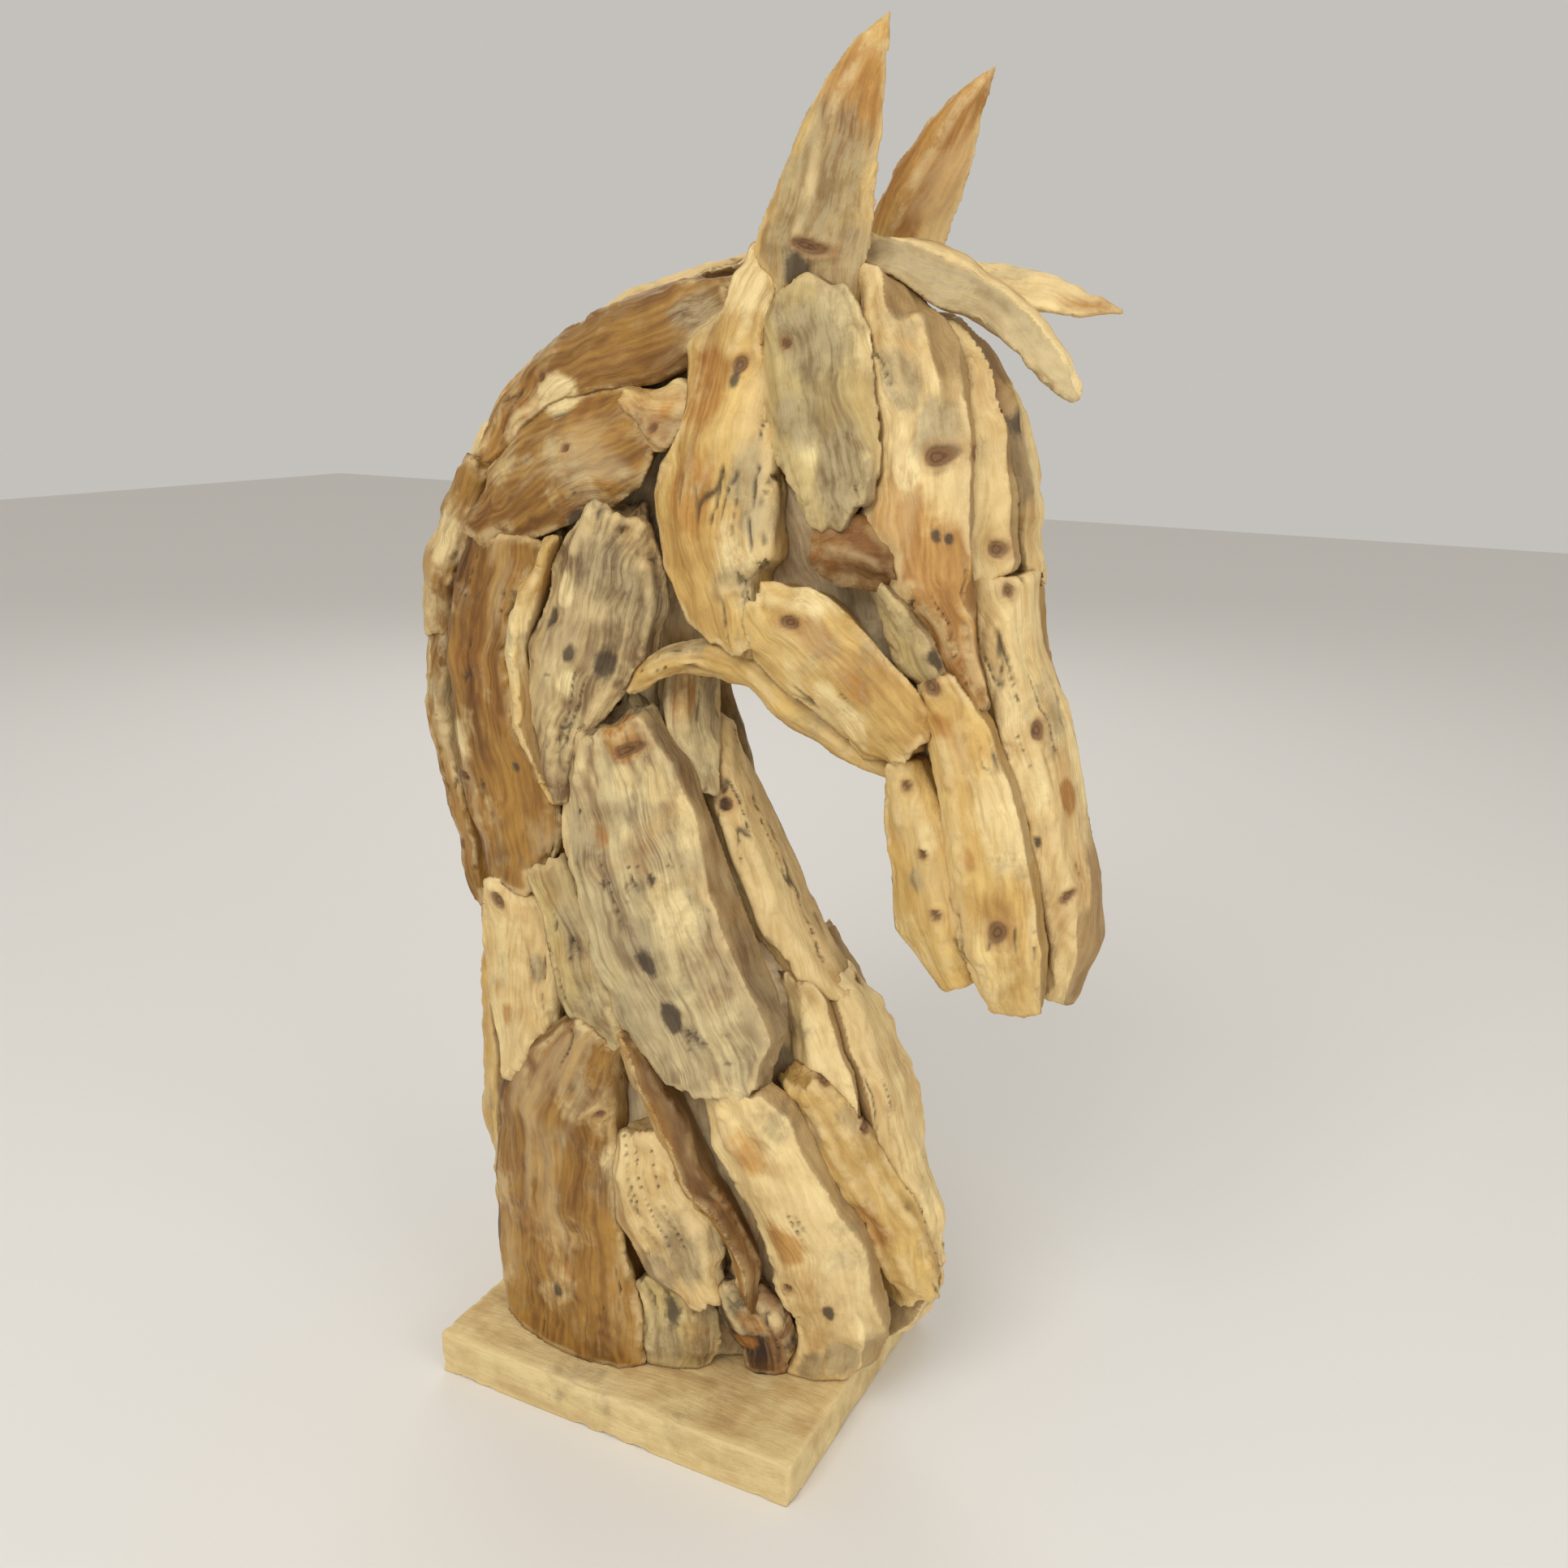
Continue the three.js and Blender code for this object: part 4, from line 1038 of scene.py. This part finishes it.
class DRIFTWOOD_OT_forehead(bpy.types.Operator):
    """Carves the forehead, the brow and the eye"""

    bl_idname = "driftwood.forehead"
    bl_label = "Forehead and eye"

    def execute(self, context):
        finish_pieces((
            "temple_slab", "face_slab", "under_eye_chip", "brow_strip", "left_brow_strip", "left_temple_slab",
        ), plank_relief(**{"Joint Fill": 6.5 * MM, "Rim Lift": 3 * MM}))
        finish_pieces(("eye",), plank_relief(**{
            "Torn Ends": 0.0, "Lump Height": 2 * MM, "Joint Fill": 7 * MM,
        }))
        return {"FINISHED"}


class DRIFTWOOD_OT_cheek_and_jaw(bpy.types.Operator):
    """Carves the cheeks and the jaw"""

    bl_idname = "driftwood.cheek_and_jaw"
    bl_label = "Cheek and jaw"

    def execute(self, context):
        finish_pieces(("cheek_slab", "jaw_plank", "left_cheek_slab", "left_jaw_plank"), plank_relief())
        finish_pieces(("jaw_branch",), limb_relief())
        return {"FINISHED"}


class DRIFTWOOD_OT_muzzle(bpy.types.Operator):
    """Carves the nose, the muzzle and the chin"""

    bl_idname = "driftwood.muzzle"
    bl_label = "Muzzle"

    def execute(self, context):
        finish_pieces((
            "muzzle_front", "muzzle_side", "nose_plank", "left_face_slab", "left_muzzle_side", "chin_plank",
        ), plank_relief(**{
            "Lump Height": 2 * MM, "Torn Ends": 3 * MM, "Ridge Height": 1 * MM, "Scallop Depth": 1.6 * MM,
            "Rim Lift": 2 * MM, "Wave Height": 4 * MM,
        }))
        return {"FINISHED"}


class DRIFTWOOD_OT_neck_slabs(bpy.types.Operator):
    """Carves the long slabs on the right side of the neck"""

    bl_idname = "driftwood.neck_slabs"
    bl_label = "Neck slabs"

    def execute(self, context):
        finish_pieces(("neck_chip", "mid_neck_slab", "upper_neck_slab", "pale_oval_slab"), plank_relief())
        finish_pieces(("rear_neck_slab", "striated_slab", "lower_rear_slab"), plank_relief(**{
            "Ridge Height": 3.2 * MM, "Split Depth": 3.2 * MM,
        }))
        return {"FINISHED"}


class DRIFTWOOD_OT_burl(bpy.types.Operator):
    """Carves the rough burl and the pale rim along it"""

    bl_idname = "driftwood.burl"
    bl_label = "Burl"

    def execute(self, context):
        finish_pieces(("burl",), plank_relief(**{
            "Lump Height": 14 * MM, "Pit Depth": 4 * MM, "Scallop Depth": 6 * MM,
        }))
        finish_pieces(("burl_rim",), plank_relief())
        return {"FINISHED"}


class DRIFTWOOD_OT_bark_log(bpy.types.Operator):
    """Carves the barky log across the neck"""

    bl_idname = "driftwood.bark_log"
    bl_label = "Bark log"

    def execute(self, context):
        finish_pieces(("bark_log",), plank_relief(**{
            "Ridge Height": 2.6 * MM, "Pit Depth": 1.2 * MM, "Torn Ends": 14 * MM,
        }))
        return {"FINISHED"}


class DRIFTWOOD_OT_throat(bpy.types.Operator):
    """Carves the throat planks"""

    bl_idname = "driftwood.throat"
    bl_label = "Throat"

    def execute(self, context):
        names = ("throat_bit", "throat_plank_upper", "throat_plank_lower", "pale_splinter")
        finish_pieces(names, plank_relief())
        return {"FINISHED"}


class DRIFTWOOD_OT_chest(bpy.types.Operator):
    """Carves the roots of the chest and the foot of the neck"""

    bl_idname = "driftwood.chest"
    bl_label = "Chest and foot"

    def execute(self, context):
        finish_pieces(("front_branch", "front_log", "foot_splinter", "slanted_stick"), plank_relief())
        finish_pieces(("pale_lower_slab", "burnt_root", "bottom_chunk"), plank_relief(**{
            "Lump Height": 8 * MM, "Scallop Depth": 5 * MM, "Joint Fill": 4 * MM,
        }))
        return {"FINISHED"}


class DRIFTWOOD_OT_crest(bpy.types.Operator):
    """Carves the crest and the back of the neck"""

    bl_idname = "driftwood.crest"
    bl_label = "Crest and back"

    def execute(self, context):
        finish_pieces(("crest_strip", "nape_strip", "nape_plank", "back_plank_lower"), plank_relief())
        return {"FINISHED"}


class DRIFTWOOD_OT_left_neck(bpy.types.Operator):
    """Carves the plainer left side of the neck"""

    bl_idname = "driftwood.left_neck"
    bl_label = "Left side of the neck"

    def execute(self, context):
        finish_pieces((
            "left_upper_neck_slab", "left_mid_neck_slab", "left_rear_neck_slab", "left_throat_slab",
            "left_neck_log", "left_front_slab", "left_lower_slab", "left_lower_rear_slab",
        ), plank_relief())
        return {"FINISHED"}


class DRIFTWOOD_OT_stage(bpy.types.Operator):
    """Sets the floor, the soft lights and the camera"""

    bl_idname = "driftwood.stage"
    bl_label = "Stage"

    def execute(self, context):
        stage = context.scene.driftwood_stage
        half = stage.floor_size / 2
        mesh = bpy.data.meshes.new("floor")
        corners = [(-half, -half, 0), (half, -half, 0), (half, half, 0), (-half, half, 0)]
        mesh.from_pydata(corners, [], [(0, 1, 2, 3)])
        floor = bpy.data.objects.new("floor", mesh)
        context.scene.collection.objects.link(floor)
        paint = bpy.data.materials.new("floor")
        paint.use_nodes = True
        paint.node_tree.nodes["Principled BSDF"].inputs["Base Color"].default_value = (*stage.floor_colour, 1)
        paint.node_tree.nodes["Principled BSDF"].inputs["Roughness"].default_value = 0.9
        mesh.materials.append(paint)
        add_light("key", (0.1, -2.4, 2.5), stage.key_power, 1.5)
        add_light("fill", (2.4, -0.9, 1.3), stage.fill_power, 1.6)
        add_light("back", (-1.4, 2.2, 2.2), stage.fill_power, 1.8)
        world = bpy.data.worlds.new("soft room")
        world.use_nodes = True
        world.node_tree.nodes["Background"].inputs["Color"].default_value = (1, 0.97, 0.92, 1)
        world.node_tree.nodes["Background"].inputs["Strength"].default_value = stage.sky_strength
        context.scene.world = world
        context.scene.view_settings.view_transform = "Standard"
        add_camera(stage)
        return {"FINISHED"}


def add_light(name, place, power, size):
    """A square soft light that looks at the middle of the sculpture."""
    lamp = bpy.data.lights.new(name, "AREA")
    lamp.energy = power
    lamp.size = size
    light = bpy.data.objects.new(name, lamp)
    middle = Vector((0.05, 0, 0.5))
    light.location = place
    light.rotation_euler = (middle - Vector(place)).to_track_quat("-Z", "Y").to_euler()
    bpy.context.scene.collection.objects.link(light)


def add_camera(stage):
    """A camera that stands beside the horse's right cheek and looks down a little."""
    lens = bpy.data.cameras.new("camera")
    lens.lens = stage.camera_lens
    lens.sensor_width = 36
    lens.clip_start = 0.01
    camera = bpy.data.objects.new("camera", lens)
    turn = Matrix.Rotation(stage.camera_azimuth, 4, "Z")
    tilt = Matrix.Rotation(math.pi / 2 - stage.camera_pitch, 4, "X")
    lean = Matrix.Rotation(stage.camera_roll, 4, "Z")
    camera.matrix_world = Matrix.Translation(stage.camera_place) @ turn @ tilt @ lean
    bpy.context.scene.collection.objects.link(camera)
    bpy.context.scene.camera = camera


OPERATORS = (
    DRIFTWOOD_OT_plinth, DRIFTWOOD_OT_inner_wood, DRIFTWOOD_OT_ears, DRIFTWOOD_OT_forelock,
    DRIFTWOOD_OT_forehead, DRIFTWOOD_OT_cheek_and_jaw, DRIFTWOOD_OT_muzzle, DRIFTWOOD_OT_neck_slabs,
    DRIFTWOOD_OT_burl, DRIFTWOOD_OT_bark_log, DRIFTWOOD_OT_throat, DRIFTWOOD_OT_chest,
    DRIFTWOOD_OT_crest, DRIFTWOOD_OT_left_neck, DRIFTWOOD_OT_stage,
)


class DRIFTWOOD_PT_panel(bpy.types.Panel):
    """Lists the steps that make the sculpture, and its sizes and colours"""

    bl_idname = "DRIFTWOOD_PT_panel"
    bl_label = "Driftwood horse head"
    bl_space_type = "VIEW_3D"
    bl_region_type = "UI"
    bl_category = "Driftwood"

    def draw(self, context):
        for operator in OPERATORS:
            self.layout.operator(operator.bl_idname)
        for group in (context.scene.driftwood_carving, context.scene.driftwood_stage):
            column = self.layout.column()
            for name in group.bl_rna.properties.keys():
                if name not in ("rna_type", "name"):
                    column.prop(group, name)


CLASSES = (DriftwoodCarving, DriftwoodStage, *OPERATORS, DRIFTWOOD_PT_panel)


def register():
    for kind in CLASSES:
        bpy.utils.register_class(kind)
    bpy.types.Scene.driftwood_carving = bpy.props.PointerProperty(type=DriftwoodCarving)
    bpy.types.Scene.driftwood_stage = bpy.props.PointerProperty(type=DriftwoodStage)


def unregister():
    del bpy.types.Scene.driftwood_stage
    del bpy.types.Scene.driftwood_carving
    for kind in reversed(CLASSES):
        bpy.utils.unregister_class(kind)


def main():
    """Makes the whole sculpture and its stage."""
    register()
    steps = bpy.ops.driftwood
    steps.stage()
    steps.plinth()
    steps.inner_wood()
    steps.ears()
    steps.forelock()
    steps.forehead()
    steps.cheek_and_jaw()
    steps.muzzle()
    steps.neck_slabs()
    steps.burl()
    steps.bark_log()
    steps.throat()
    steps.chest()
    steps.crest()
    steps.left_neck()


if __name__ == "__main__":
    main()
